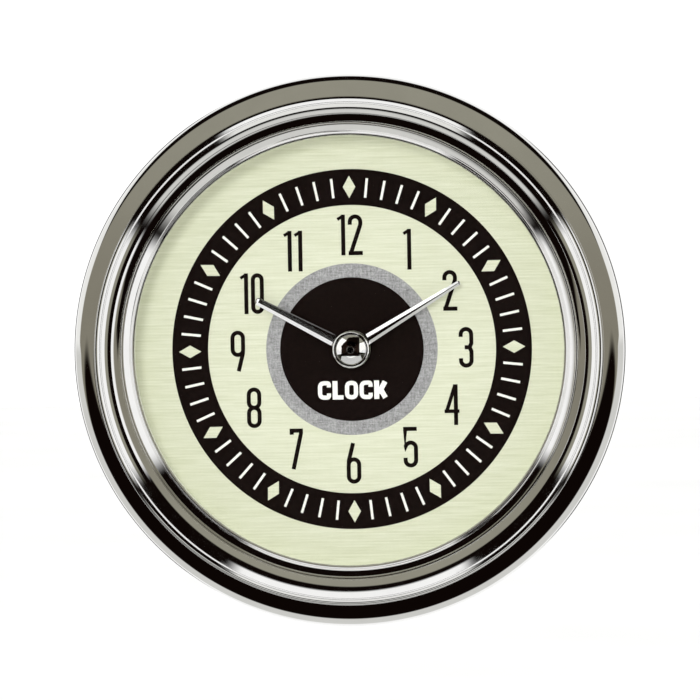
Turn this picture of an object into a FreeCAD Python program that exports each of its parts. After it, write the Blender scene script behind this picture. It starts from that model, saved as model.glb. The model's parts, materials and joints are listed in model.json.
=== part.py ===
"""Round quartz clock for a dashboard panel, with a chromed bezel and a rear clamp.

X is to the right and Z is up as the dial is read, and +Y points to the rear.
The origin is on the clock's axis, in the plane where the bezel seats on the panel.
Depths are values of Y, so whatever stands in front of the panel has a negative depth.
A pair of depths is (front, rear), and a pair of radii is (bore, outside).
"""

import FreeCAD, Part
import math
import os
from collections import namedtuple

Screw = namedtuple("Screw", "head_r head_height shank_r length")
Arbor = namedtuple("Arbor", "name bearing teeth module wheel_depths pinion_depths hub_r spokes")

# ---------------------------------------------------------------- driving dimensions (mm)

# gaps on the radius round pieces that don't turn
TIGHT = 0.02
SNUG = 0.05

# bezel, drawn in section as (radius, depth) from the seat to the hem round the window
BEZEL_R = 30.15
WINDOW_R = 23.45
SEAT_BORE_R = 27.1
SHEET = 0.6
SEAT_CORNER_R = 0.5
SHOULDER_CENTRE = (26.53, -3.0)
SHOULDER_END = 72.0
LAND_OUTER = (27.55, -6.66)
LAND_CROWN = (27.07, -6.75)
LAND_INNER = (26.6, -6.65)
CONE_FOOT = (25.85, -5.6)
STEP_OUTER = (24.95, -5.1)
STEP_INNER = (24.6, -4.62)
HEM_R = 0.3
HEM_DEPTH = -4.35
HEM_RISE = 0.1
HEM_WIDTH = 0.58
LINING_STEP = (25.65, -5.0)
LINING_LAND = (26.3, -6.1)

# glass and its seals
GLASS_R = 28.6
GLASS = (-4.0, -2.0)
FRONT_SEAL_R = (24.75, 25.4)
FRONT_SEAL_SEAT = -4.42
REAR_GASKET_R = (25.6, 28.4)

# light ring between the glass and the dial
REFLECTOR_OUTER_R = 25.2
REFLECTOR_BORE_R = 23.95
REFLECTOR = (-1.95, 5.0)
REFLECTOR_PLAY = 0.15

# case
CASE_R = 26.2
CASE_WALL = 0.8
CASE_BORE_R = CASE_R - CASE_WALL
CASE_REAR = 37.6
CASE_FLOOR = CASE_REAR - CASE_WALL
CASE_EDGE_R = 1.5
FLANGE_R = 29.2
FLANGE_REAR = -SHEET
FLANGE_FRONT = FLANGE_REAR - CASE_WALL
CASE_SCREW = Screw(2.4, 1.6, 1.2, 10.6)

# dial
DIAL_R = 24.6
DIAL = (1.9, 2.5)
DIAL_HOLE_R = 2.0
FOOT_R = 0.8
FOOT_X = 20.0
FOOT_REAR = 5.6
CLIP_R = 2.2
CLIP_THICK = 0.4

# dial carrier, which ties the dial, the movement and the case together
CARRIER_R = (13.2, 24.4)
CARRIER_REAR = 4.5
CARRIER_NOTCH_R = 3.0
CARRIER_BOSS_R = 1.6
CARRIER_SCREW = Screw(1.1, 0.8, 0.5, 3.5)
CARRIER_PILOT_FRONT = 3.2
CARRIER_SCREW_RING_R = 15.8
POST_R = 2.3
POST_RING_R = 22.0
POST_PILOT_FRONT = 26.0

# movement plates, pillars and circuit board
PLATE_R = 19.0
FRONT_PLATE = (6.3, 7.1)
REAR_PLATE = (16.1, 16.9)
PILLAR_R = 1.5
PILLAR_RING_R = 16.5
TENON_R = 0.9
PILLAR_BORE_R = 0.7
PILLAR_BORE_FRONT = 11.5
PILLAR_SCREW = Screw(1.3, 0.8, 0.65, 7.2)
BOARD_R = 18.5
BOARD = (18.5, 19.7)

# pivots and bushes
PIVOT_R = 0.3
PIVOTS = (6.2, 17.0)
PIVOT_PLAY = 0.05
ARBOR_R = 0.5
SHOULDERS = (7.35, 15.95)
BUSH_R = 0.9
CENTRE_BUSH_R = 1.5
BUSH_PROUD = 0.1

# gears: the centre wheel drives the train's other arbors in turn, each through its pinion
MOTION_MODULE = 0.3
HOUR_MODULE = 0.288
TRAIN_MODULE = 0.2
FIRST_MODULE = 0.16
TRAIN_PINION_TEETH = 10
CENTRE = Arbor("centre_wheel", None, 80, TRAIN_MODULE, (7.7, 8.3), None, 2.2, 5)
THIRD = Arbor("third_wheel", 200.0, 75, TRAIN_MODULE, (9.4, 10.0), (7.4, 8.8), 2.0, 5)
SECOND = Arbor("second_wheel", 85.0, 50, TRAIN_MODULE, (11.2, 11.8), (9.1, 10.5), 1.6, 4)
FIRST = Arbor("first_wheel", 60.0, 60, FIRST_MODULE, (13.2, 13.8), (10.9, 12.3), 1.6, 4)
ROTOR_BEARING = 12.0
ROTOR_PINION = (12.9, 14.3)
WHEEL_BOSS_R = 0.8
WHEEL_BOSS_PROUD = 0.6
TRAIN_SPOKE = 0.8
TRAIN_RIM = 0.7

# centre arbor and cannon pinion, which grips it and carries the minute hand
CENTRE_ARBOR_R = 0.6
CENTRE_ARBOR_FRONT = -0.45
CENTRE_BOSS_R = 1.4
CENTRE_BOSS = (7.5, 9.0)
CANNON_TEETH = 12
CANNON_GEAR = (4.1, 5.1)
CANNON_PIPE_R = 1.1
CANNON_BOSS_R = 1.2
CANNON_REAR = 6.1
CANNON_BORE_R = CENTRE_ARBOR_R + 0.06

# minute wheel and its post
MINUTE_TEETH = 36
MINUTE_GEAR = (4.3, 4.9)
MINUTE_PINION_TEETH = 10
MINUTE_PINION = (2.9, 3.9)
MINUTE_HUB_R = 1.1
MINUTE_HUB_REAR = 5.3
MINUTE_WINDOWS_R = (1.9, 4.2)
MINUTE_POST_R = 0.5
MINUTE_POST_FRONT = 2.75
MOTION_SPOKE = 0.9
MOTION_SPOKES = 4

# hour wheel and the dished washer behind the dial
HOUR_TEETH = 40
HOUR_GEAR = (3.1, 3.7)
HOUR_WINDOWS_R = (2.4, 4.5)
HOUR_PIPE_R = (1.16, 1.55)
HOUR_PIPE = (0.5, 3.9)
HOUR_WASHER_R = (1.7, 3.5)
HOUR_WASHER = (2.55, 3.05)

# hands
HOUR_LENGTH = 11.9
HOUR_ANGLE = 298.0
HOUR_HUB_WIDTH = 1.42
HOUR_TIP_WIDTH = 0.84
HOUR_BLADE = (0.95, 1.25)
HOUR_COLLET = (0.5, 1.5)
HOUR_COLLET_BORE_R = 1.56
MINUTE_LENGTH = 14.1
MINUTE_ANGLE = 59.2
MINUTE_HUB_WIDTH = 1.26
MINUTE_TIP_WIDTH = 0.5
MINUTE_BLADE = (-0.35, -0.05)
MINUTE_COLLET = (-0.5, 0.2)
MINUTE_COLLET_BORE_R = 1.12
HUB_R = 2.04
CAP_R = 1.69
CAP_BASE = -0.5
CAP_WALL = 0.3
CAP_CROWN = -1.43
CAP_DIMPLE_R = 0.38
CAP_DIMPLE = 0.1

# setting shaft and knob
SET_TEETH = 12
SET_GEAR = (4.1, 5.1)
SET_SHAFT_R = 0.9
SET_SHAFT = (3.9, 45.0)
SET_SHAFT_PLAY = 0.2
KNOB_R = 4.2
KNOB = (39.5, 46.0)
KNOB_RIDGES = 36
RIDGE_DEPTH = 0.25
CIRCLIP_R = 2.0
CIRCLIP = (34.9, 35.3)
CIRCLIP_GAP = 1.0
SET_BUSH_FLANGE_R = 3.0
SET_BUSH_FLANGE_FRONT = 35.8
SET_BUSH_SLEEVE_R = 1.8
SET_BUSH_REAR = 38.2

# stepping motor: a magnet turns in the stator's bore, and the coil's core bridges its arms
MAGNET_R = 2.2
MAGNET = (8.6, 11.6)
MAGNET_COLLAR_R = 0.75
STATOR = (9.3, 10.8)
STATOR_R = (2.6, 3.9)
STATOR_PIN_R = 0.5
STATOR_PIN_REAR = 11.2
STATOR_BOSS_R = 1.2
ARM_Z = 13.2
ARM_HALF_WIDTH = 1.2
CORE = (10.8, 12.0)
CORE_SCREW = Screw(1.35, 0.8, 0.68, 2.7)
COIL_Z = 18.5
COIL_REACH = 7.5
BOBBIN_REACH = 6.0
BOBBIN_R = 3.1
SPOOL_R = 1.9
CHEEK = 0.7
WINDING_R = (1.95, 2.8)

# parts on the circuit board
CRYSTAL_R = 1.5
CRYSTAL_LENGTH = 8.0
CRYSTAL_PLACE = (3.0, 6.0)
CHIP_HALF_X = 2.5
CHIP_HALF_Z = 2.0
CHIP_HEIGHT = 1.5
CAPACITOR_R = 3.15
CAPACITOR_HEIGHT = 7.0
CAPACITOR_EDGE_R = 0.5
CAPACITOR_PLACE = (-9.0, 1.5)
LEAD_R = 0.6
LEAD_PAD = (7.5, -7.5)
LEAD_STRAIGHT = 6.0
LEAD_BEND_SHARE = 0.45
BOARD_NOTCH_R = 1.6

# push-on blade terminals
BLADE_HALF_WIDTH = 3.15
BLADE_THICK = 0.8
BLADE_BEND_R = 1.2
BLADE_BELOW = 3.4
BLADE_ABOVE = 2.6
BLADE_REACH = 9.5
BLADE_NOSE = 0.5
BLADE_DIMPLE_R = 0.9
BLADE_DIMPLE_DEPTH = 6.0
INSULATOR_R = 4.2
INSULATOR_THICK = 0.8
INSULATOR_SHOULDER_R = 1.9
RIVET_R = 1.2
RIVET_HEAD_R = 2.1
RIVET_HEAD = 0.6
POWER_TAIL = (CASE_FLOOR - INSULATOR_THICK - RIVET_HEAD, CASE_FLOOR - INSULATOR_THICK)
GROUND_TAIL = (CASE_FLOOR - RIVET_HEAD, CASE_FLOOR)

# bayonet lamp holder
LAMP_TURN = 60.0
LAMP_BORE_R = 5.4
LAMP_BARREL_R = 5.2
LAMP_BARREL_FRONT = 31.0
LAMP_FLANGE_R = 7.0
LAMP_FLANGE = (CASE_REAR + SNUG, 39.0)
LAMP_GRIP_R = 4.4
LAMP_GRIP_REAR = 45.5
LAMP_WING_REACH = 6.6
LAMP_WING_REAR = 45.0
LAMP_WING_HALF_WIDTH = 1.3
EAR_R = 6.6
EAR_HALF_WIDTH = 1.4
EAR = (36.1, 36.7)
EAR_PLAY = 0.3
LAMP_BLADE = (42.0, 54.0)
LAMP_BLADE_HOLE = 49.5
BULB_R = 2.5
BULB = (23.0, 35.0)
BULB_PLAY = 0.1
BULB_SOCKET_REAR = 36.0

# studs, nuts and clamp
STUD_R = 2.0
STUD_REAR = 56.0
STUD_POINT = 0.5
STUD_X = 12.7
STUD_HEAD_R = 4.0
STUD_HEAD = 1.2
NUT_FLATS = 7.0
NUT_REAR = 39.4
NUT_PLAY = 0.03
STRAP = (43.0, 44.2)
STRAP_HALF_WIDTH = 5.5
STRAP_BEND_R = 3.0
STRAP_PLAY = 0.25
LEG_OUTER_X = 29.0
LEG_FRONT = 6.0
WASHER_R = (2.2, 3.6)
WASHER_THICK = 0.7
WASHER_SPLIT = 0.7
WASHER_SPLIT_TURN = 45.0
THUMB_R = 4.4
THUMB_BOSS_R = 3.2
THUMB_RIDGES = 30
THUMB_RIM = (1.0, 4.2)
THUMB_HEIGHT = 5.2

# holes in the case's rear wall
POST_HOLE_R = 1.3
SET_BUSH_HOLE_R = SET_BUSH_SLEEVE_R + SNUG
POWER_HOLE_R = INSULATOR_SHOULDER_R + SNUG
GROUND_HOLE_R = RIVET_R + SNUG

PAST = 1.0
SLANT = math.sqrt(0.5)

# ---------------------------------------------------------------- places on the dial plane (x, z)


def polar(radius, degrees):
    """The place at a radius from the axis, counted from 3 o'clock towards 12."""
    turn = math.radians(degrees)
    return (radius * math.cos(turn), radius * math.sin(turn))


def step_from(place, distance, degrees):
    x, z = polar(distance, degrees)
    return (place[0] + x, place[1] + z)


def train_places():
    """From the third arbor to the rotor. Each gap is the sum of two pitch radii."""
    places = []
    here = AXIS
    bearings = [THIRD.bearing, SECOND.bearing, FIRST.bearing, ROTOR_BEARING]
    for driver, bearing in zip((CENTRE, THIRD, SECOND, FIRST), bearings):
        here = step_from(here, driver.module * (driver.teeth + TRAIN_PINION_TEETH) / 2, bearing)
        places.append(here)
    return places


AXIS = (0.0, 0.0)
DOWN = 270.0
UP = 90.0
TRAIN_PLACES = train_places()
ROTOR_PLACE = TRAIN_PLACES[-1]
POST_PLACES = [polar(POST_RING_R, a) for a in (30, 150, 270)]
PILLAR_PLACES = [polar(PILLAR_RING_R, a) for a in (20, 160, 235, 305)]
CARRIER_SCREW_PLACES = [polar(CARRIER_SCREW_RING_R, a) for a in (42, 185, 290)]
FOOT_PLACES = [(side * FOOT_X, 0.0) for side in (-1, 1)]
STUD_PLACES = [(side * STUD_X, 0.0) for side in (-1, 1)]
PAD_PLACES = [(ROTOR_PLACE[0] + side * COIL_REACH, COIL_Z) for side in (-1, 1)]
STATOR_PIN_PLACES = [(x, ARM_Z) for x, z in PAD_PLACES]
MINUTE_WHEEL_PLACE = polar(MOTION_MODULE * (CANNON_TEETH + MINUTE_TEETH) / 2, DOWN)
SET_PLACE = step_from(MINUTE_WHEEL_PLACE, MOTION_MODULE * (SET_TEETH + MINUTE_TEETH) / 2, DOWN)
LAMP_PLACE = (0.0, 15.0)
GROUND_PLACE = (-11.5, -14.0)
POWER_PLACE = (11.5, -14.0)

# ---------------------------------------------------------------- solid helpers

REARWARD = FreeCAD.Vector(0, 1, 0)
UPWARD = FreeCAD.Vector(0, 0, 1)
RIGHTWARD = FreeCAD.Vector(1, 0, 0)


def vector(x, depth, z):
    return FreeCAD.Vector(x, depth, z)


def rod(radius, front, rear, place=AXIS):
    return Part.makeCylinder(radius, rear - front, vector(place[0], front, place[1]), REARWARD)


def tube(radii, front, rear, place=AXIS):
    bore, outside = radii
    return rod(outside, front, rear, place).cut(rod(bore, *past(front, rear), place))


def past(front, rear):
    """Depths of a cutting tool that goes right through a solid."""
    return (front - PAST, rear + PAST)


def block(x_range, depth_range, z_range):
    corner = vector(x_range[0], depth_range[0], z_range[0])
    size = [high - low for low, high in (x_range, depth_range, z_range)]
    return Part.makeBox(size[0], size[1], size[2], corner)


def closed_wire(steps, locate):
    """A step of two numbers is a straight run to that point, a step of four is an arc
    through its first point to its second. locate turns two numbers into a vector."""
    edges = []
    here = steps[0][-2:]
    for step in steps[1:] + steps[:1]:
        there = step[-2:]
        if len(step) == 4:
            arc = Part.Arc(locate(*here), locate(*step[:2]), locate(*there))
            edges.append(arc.toShape())
        else:
            edges.append(Part.makeLine(locate(*here), locate(*there)))
        here = there
    return Part.Wire(edges)


def turned(steps):
    """Revolve an outline of (radius, depth) steps about the clock's axis."""
    face = Part.Face(closed_wire(steps, lambda radius, depth: vector(radius, depth, 0)))
    return face.revolve(vector(0, 0, 0), REARWARD, 360)


def slab(steps, front, rear):
    """Extrude an outline of (x, z) steps to the rear."""
    face = Part.Face(closed_wire(steps, lambda x, z: vector(x, front, z)))
    return face.extrude(vector(0, rear - front, 0))


def joined(*solids):
    whole = solids[0]
    for solid in solids[1:]:
        whole = whole.fuse(solid)
    return whole.removeSplitter()


def without(solid, tools):
    for tool in tools:
        solid = solid.cut(tool)
    return solid


def moved(solid, place):
    return solid.translated(vector(place[0], 0, place[1]))


def rotated(solid, degrees, place=AXIS):
    """Turn clockwise as seen from the front."""
    return solid.rotated(vector(place[0], 0, place[1]), REARWARD, degrees)


def knurled(radius, ridges, front, rear):
    steps = []
    for ridge in range(ridges):
        steps.append(polar(radius, 360 * ridge / ridges))
        steps.append(polar(radius - RIDGE_DEPTH, 360 * (ridge + 0.5) / ridges))
    return slab(steps, front, rear)


def save(name, *solids):
    shape = solids[0] if len(solids) == 1 else Part.makeCompound(list(solids))
    shape.exportStep("parts/" + name + ".step")


# ---------------------------------------------------------------- screws

RECESS_ARM = 0.55
RECESS_DEPTH = 0.4
RECESS_HALF_WIDTH = 0.15


def pan_screw(place, screw, seat):
    """Pan head behind its seat and shank before it. The cross recess is sized by the head."""
    rear = seat + screw.head_height
    head = rod(screw.head_r, seat, rear, place)
    shank = rod(screw.shank_r, seat - screw.length, seat, place)
    arm = screw.head_r * RECESS_ARM
    half = screw.head_r * RECESS_HALF_WIDTH
    slot = block((-arm, arm), (rear - screw.head_r * RECESS_DEPTH, rear + PAST), (-half, half))
    return without(joined(head, shank), [moved(slot, place), moved(rotated(slot, 90), place)])


# ---------------------------------------------------------------- gears

PRESSURE_ANGLE = math.radians(20)
TOOTH_SHARE = 0.42
ADDENDUM = 0.70
DEDENDUM = 0.95
FEW_TEETH = 20


def involute(angle):
    return math.tan(angle) - angle


def tooth_half_angle(teeth, radius_in_modules):
    """Half of a tooth's width at a radius, as an angle: an involute down to the base circle
    and a radial flank below it."""
    pitch_radius = teeth / 2
    base_radius = pitch_radius * math.cos(PRESSURE_ANGLE)
    half = TOOTH_SHARE * math.pi / 2 / pitch_radius + involute(PRESSURE_ANGLE)
    if radius_in_modules > base_radius:
        half -= involute(math.acos(base_radius / radius_in_modules))
    return half


def gear(teeth, module, depths, place, tooth_bearing):
    """Spur gear. tooth_bearing is the direction of one tooth's middle, in degrees.
    A pinion's flank also has a point on its pitch circle."""
    pitch_radius = teeth / 2
    radii = [pitch_radius - DEDENDUM, pitch_radius + ADDENDUM]
    if teeth < FEW_TEETH:
        radii.insert(1, pitch_radius)
    flank = [(radius, math.degrees(tooth_half_angle(teeth, radius))) for radius in radii]
    steps = []
    for tooth in range(teeth):
        middle = tooth_bearing + 360 * tooth / teeth
        steps += [step_from(place, r * module, middle - half) for r, half in flank]
        steps += [step_from(place, r * module, middle + half) for r, half in reversed(flank)]
    return slab(steps, *depths)


def meshing_bearing(teeth, mate_teeth, mate_bearing, bearing):
    """The tooth bearing that sets a gear's tooth in its mate's gap. bearing is the direction
    from the mate's centre to this gear's centre."""
    mate_share = (bearing - mate_bearing) * mate_teeth / 360
    return bearing + 180 - (0.5 - mate_share) * 360 / teeth


def crossings(wheel, depths, place, window_radii, spokes, spoke_width):
    """Cut the windows between a wheel's spokes."""
    front, rear = past(*depths)
    windows = tube(window_radii, front, rear, place)
    half = spoke_width / 2
    spoke = block((0, window_radii[1] + PAST), past(front, rear), (-half, half))
    for count in range(spokes):
        windows = windows.cut(moved(rotated(spoke, 360 * count / spokes), place))
    return wheel.cut(windows)


def arbor(place):
    return joined(rod(PIVOT_R, *PIVOTS, place), rod(ARBOR_R, *SHOULDERS, place))


# ---------------------------------------------------------------- bezel, glass and seals


def on_shoulder(degrees, radius):
    """A point of the bezel's rounded shoulder, counted from its outer edge to the front."""
    across, forward = polar(radius, degrees)
    return (SHOULDER_CENTRE[0] + across, SHOULDER_CENTRE[1] - forward)


def bezel():
    """Pressed chromed ring. The outside goes from the seat over the shoulder, the crowned
    land and the inner cone to the rolled hem round the window, and the inside comes back."""
    outer = BEZEL_R - SHOULDER_CENTRE[0]
    inner = outer - SHEET
    corner_cut = SEAT_CORNER_R * (1 - SLANT)
    hem_rear = HEM_DEPTH + HEM_R
    bore, outside = FRONT_SEAL_R
    return turned(
        [
            (SEAT_BORE_R, 0),
            (BEZEL_R - SEAT_CORNER_R, 0),
            (BEZEL_R - corner_cut, -corner_cut, BEZEL_R, -SEAT_CORNER_R),
            on_shoulder(0, outer),
            (*on_shoulder(SHOULDER_END / 2, outer), *on_shoulder(SHOULDER_END, outer)),
            LAND_OUTER,
            (*LAND_CROWN, *LAND_INNER),
            CONE_FOOT,
            STEP_OUTER,
            STEP_INNER,
            (WINDOW_R + HEM_WIDTH, HEM_DEPTH - HEM_RISE),
            (WINDOW_R, HEM_DEPTH, WINDOW_R + HEM_R, hem_rear),
            (bore - HEM_RISE, hem_rear),
            (bore, FRONT_SEAL_SEAT),
            (outside, FRONT_SEAL_SEAT),
            LINING_STEP,
            LINING_LAND,
            on_shoulder(SHOULDER_END, inner),
            (*on_shoulder(SHOULDER_END / 2, inner), *on_shoulder(0, inner)),
            (BEZEL_R - SHEET, -SHEET),
            (SEAT_BORE_R, -SHEET),
        ]
    )


def save_front():
    save("bezel", bezel())
    save("lens", rod(GLASS_R, *GLASS))
    save("lens_front_seal", tube(FRONT_SEAL_R, FRONT_SEAL_SEAT, GLASS[0]))
    save("lens_rear_gasket", tube(REAR_GASKET_R, GLASS[1], FLANGE_FRONT))
    wall = tube((REFLECTOR_BORE_R, REFLECTOR_OUTER_R), REFLECTOR[0], DIAL[0])
    skirt = tube((DIAL_R + REFLECTOR_PLAY, REFLECTOR_OUTER_R), DIAL[0], REFLECTOR[1])
    save("reflector_ring", joined(wall, skirt))


# ---------------------------------------------------------------- case


def lamp_ears(radius, half_width, depths):
    """Two opposite bayonet ears on the lamp's axis, as one bar across it."""
    bar = block((-radius, radius), depths, (-half_width, half_width))
    return moved(bar.common(rod(radius, *depths)), LAMP_PLACE)


def case_shell():
    centre_r = CASE_R - CASE_EDGE_R
    centre_depth = CASE_REAR - CASE_EDGE_R
    edge = CASE_EDGE_R * SLANT
    inner_edge = (CASE_EDGE_R - CASE_WALL) * SLANT
    shell = turned(
        [
            (CASE_BORE_R, FLANGE_FRONT),
            (FLANGE_R, FLANGE_FRONT),
            (FLANGE_R, FLANGE_REAR),
            (CASE_R, FLANGE_REAR),
            (CASE_R, centre_depth),
            (centre_r + edge, centre_depth + edge, centre_r, CASE_REAR),
            (0, CASE_REAR),
            (0, CASE_FLOOR),
            (centre_r, CASE_FLOOR),
            (centre_r + inner_edge, centre_depth + inner_edge, CASE_BORE_R, centre_depth),
        ]
    )
    through = past(CASE_FLOOR, CASE_REAR)
    holes = [rod(POST_HOLE_R, *through, place) for place in POST_PLACES]
    holes += [rod(STUD_R + SNUG, *through, place) for place in STUD_PLACES]
    holes += [rod(SET_BUSH_HOLE_R, *through, SET_PLACE)]
    holes += [rod(POWER_HOLE_R, *through, POWER_PLACE)]
    holes += [rod(GROUND_HOLE_R, *through, GROUND_PLACE)]
    holes += [rod(LAMP_BORE_R, *through, LAMP_PLACE)]
    slot = lamp_ears(EAR_R + EAR_PLAY, EAR_HALF_WIDTH + EAR_PLAY, through)
    holes += [rotated(slot, LAMP_TURN, LAMP_PLACE)]
    return without(shell, holes)


def save_case():
    save("case_shell", case_shell())
    save("case_screws", *[pan_screw(place, CASE_SCREW, CASE_REAR) for place in POST_PLACES])


# ---------------------------------------------------------------- dial and its carrier


def dial_carrier():
    ring = tube(CARRIER_R, DIAL[1], CARRIER_REAR)
    notch = rod(CARRIER_NOTCH_R, *past(DIAL[1], CARRIER_REAR), SET_PLACE)
    posts = [rod(POST_R, CARRIER_REAR, CASE_FLOOR, place) for place in POST_PLACES]
    bosses = [
        rod(CARRIER_BOSS_R, CARRIER_REAR, FRONT_PLATE[0], place) for place in CARRIER_SCREW_PLACES
    ]
    holes = [rod(FOOT_R + TIGHT, *past(DIAL[1], CARRIER_REAR), place) for place in FOOT_PLACES]
    holes += [
        rod(CASE_SCREW.shank_r + TIGHT, POST_PILOT_FRONT, CASE_FLOOR + PAST, place)
        for place in POST_PLACES
    ]
    holes += [
        rod(CARRIER_SCREW.shank_r + SNUG, CARRIER_PILOT_FRONT, FRONT_PLATE[0] + PAST, place)
        for place in CARRIER_SCREW_PLACES
    ]
    return without(joined(without(ring, [notch]), *posts, *bosses), holes)


def save_dial():
    save("dial_plate", tube((DIAL_HOLE_R, DIAL_R), *DIAL))
    save("dial_feet", *[rod(FOOT_R, DIAL[1], FOOT_REAR, place) for place in FOOT_PLACES])
    clip_rear = CARRIER_REAR + CLIP_THICK
    clips = [tube((FOOT_R + TIGHT, CLIP_R), CARRIER_REAR, clip_rear, p) for p in FOOT_PLACES]
    save("dial_foot_clips", *clips)
    save("dial_carrier", dial_carrier())
    screws = [pan_screw(p, CARRIER_SCREW, FRONT_PLATE[1]) for p in CARRIER_SCREW_PLACES]
    save("carrier_screws", *screws)


# ---------------------------------------------------------------- hands


def hand(length, hub_width, tip_width, blade, collet, bore_r):
    """Tapered hand with a rounded tip, drawn at 12 o'clock."""
    tip = tip_width / 2
    hub = hub_width / 2
    outline = [(-hub, 0), (-tip, length - tip), (0, length, tip, length - tip), (hub, 0)]
    whole = joined(slab(outline, *blade), rod(HUB_R, *collet))
    return whole.cut(rod(bore_r, *past(*collet)))


def hand_cap():
    """Domed cap with a short upright wall and a dimple in its crown."""
    brow = CAP_BASE - CAP_WALL
    bulge = (CAP_CROWN - brow) * SLANT
    return turned(
        [
            (0, CAP_CROWN + CAP_DIMPLE),
            (CAP_DIMPLE_R, CAP_CROWN),
            (CAP_R * SLANT, brow + bulge, CAP_R, brow),
            (CAP_R, CAP_BASE),
            (0, CAP_BASE),
        ]
    )


def save_hands():
    hour = hand(
        HOUR_LENGTH, HOUR_HUB_WIDTH, HOUR_TIP_WIDTH, HOUR_BLADE, HOUR_COLLET, HOUR_COLLET_BORE_R
    )
    minute = hand(
        MINUTE_LENGTH,
        MINUTE_HUB_WIDTH,
        MINUTE_TIP_WIDTH,
        MINUTE_BLADE,
        MINUTE_COLLET,
        MINUTE_COLLET_BORE_R,
    )
    save("hour_hand", rotated(hour, HOUR_ANGLE))
    save("minute_hand", rotated(minute, MINUTE_ANGLE))
    save("hand_cap", hand_cap())


# ---------------------------------------------------------------- motion work


def cannon_pinion():
    teeth = gear(CANNON_TEETH, MOTION_MODULE, CANNON_GEAR, AXIS, DOWN)
    pipe = rod(CANNON_PIPE_R, MINUTE_COLLET[0], CANNON_GEAR[0])
    boss = rod(CANNON_BOSS_R, CANNON_GEAR[1], CANNON_REAR)
    bore = rod(CANNON_BORE_R, *past(MINUTE_COLLET[0], CANNON_REAR))
    return joined(teeth, boss, pipe).cut(bore)


def minute_wheel(bearing):
    place = MINUTE_WHEEL_PLACE
    teeth = gear(MINUTE_TEETH, MOTION_MODULE, MINUTE_GEAR, place, bearing)
    wheel = crossings(teeth, MINUTE_GEAR, place, MINUTE_WINDOWS_R, MOTION_SPOKES, MOTION_SPOKE)
    pinion = gear(MINUTE_PINION_TEETH, HOUR_MODULE, MINUTE_PINION, place, UP)
    hub = rod(MINUTE_HUB_R, MINUTE_PINION[1], MINUTE_HUB_REAR, place)
    bore = rod(MINUTE_POST_R + PIVOT_PLAY, *past(MINUTE_PINION[0], MINUTE_HUB_REAR), place)
    return joined(wheel, pinion, hub).cut(bore)


def hour_wheel():
    bearing = meshing_bearing(HOUR_TEETH, MINUTE_PINION_TEETH, UP, UP)
    teeth = gear(HOUR_TEETH, HOUR_MODULE, HOUR_GEAR, AXIS, bearing)
    wheel = crossings(teeth, HOUR_GEAR, AXIS, HOUR_WINDOWS_R, MOTION_SPOKES, MOTION_SPOKE)
    bore_r, pipe_r = HOUR_PIPE_R
    return joined(wheel, rod(pipe_r, *HOUR_PIPE)).cut(rod(bore_r, *past(*HOUR_PIPE)))


def save_motion_work():
    minute_bearing = meshing_bearing(MINUTE_TEETH, CANNON_TEETH, DOWN, DOWN)
    save("cannon_pinion", cannon_pinion())
    save("minute_wheel", minute_wheel(minute_bearing))
    post = rod(MINUTE_POST_R, MINUTE_POST_FRONT, FRONT_PLATE[1], MINUTE_WHEEL_PLACE)
    save("minute_wheel_post", post)
    save("hour_wheel", hour_wheel())
    save("hour_washer", tube(HOUR_WASHER_R, *HOUR_WASHER))
    save_setting(meshing_bearing(SET_TEETH, MINUTE_TEETH, minute_bearing, DOWN))


def save_setting(bearing):
    """Knob, shaft and pinion that turn the minute wheel by hand."""
    teeth = gear(SET_TEETH, MOTION_MODULE, SET_GEAR, SET_PLACE, bearing)
    save("set_shaft", joined(teeth, rod(SET_SHAFT_R, *SET_SHAFT, SET_PLACE)))
    socket = rod(SET_SHAFT_R + TIGHT, KNOB[0] - PAST, SET_SHAFT[1])
    save("set_knob", moved(knurled(KNOB_R, KNOB_RIDGES, *KNOB).cut(socket), SET_PLACE))
    ring = tube((SET_SHAFT_R + TIGHT, CIRCLIP_R), *CIRCLIP)
    gap = block((0, CIRCLIP_R + PAST), past(*CIRCLIP), (-CIRCLIP_GAP / 2, CIRCLIP_GAP / 2))
    save("set_circlip", moved(ring.cut(gap), SET_PLACE))
    bore = SET_SHAFT_R + PIVOT_PLAY
    flange = tube((bore, SET_BUSH_FLANGE_R), SET_BUSH_FLANGE_FRONT, CASE_FLOOR, SET_PLACE)
    sleeve = tube((bore, SET_BUSH_SLEEVE_R), CASE_FLOOR, SET_BUSH_REAR, SET_PLACE)
    save("set_shaft_bush", joined(flange, sleeve))


# ---------------------------------------------------------------- plates, pillars and bushes


def front_plate():
    plate = rod(PLATE_R, *FRONT_PLATE)
    bosses = [rod(STATOR_BOSS_R, FRONT_PLATE[1], STATOR[0], p) for p in STATOR_PIN_PLACES]
    pins = [rod(STATOR_PIN_R, STATOR[0], STATOR_PIN_REAR, p) for p in STATOR_PIN_PLACES]
    through = past(*FRONT_PLATE)
    holes = [rod(BUSH_R, *through, place) for place in TRAIN_PLACES]
    holes += [rod(CENTRE_BUSH_R, *through)]
    holes += [rod(TENON_R, *through, place) for place in PILLAR_PLACES]
    holes += [rod(CARRIER_SCREW.shank_r + SNUG, *through, p) for p in CARRIER_SCREW_PLACES]
    holes += [rod(MINUTE_POST_R, *through, MINUTE_WHEEL_PLACE)]
    holes += [rod(SET_SHAFT_R + SET_SHAFT_PLAY, *through, SET_PLACE)]
    return without(joined(plate, *bosses, *pins), holes)


def rear_plate():
    through = past(*REAR_PLATE)
    holes = [rod(BUSH_R, *through, place) for place in TRAIN_PLACES]
    holes += [rod(CENTRE_BUSH_R, *through)]
    holes += [rod(PILLAR_BORE_R, *through, place) for place in PILLAR_PLACES]
    holes += [rod(SET_SHAFT_R + SET_SHAFT_PLAY, *through, SET_PLACE)]
    return without(rod(PLATE_R, *REAR_PLATE), holes)


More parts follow.
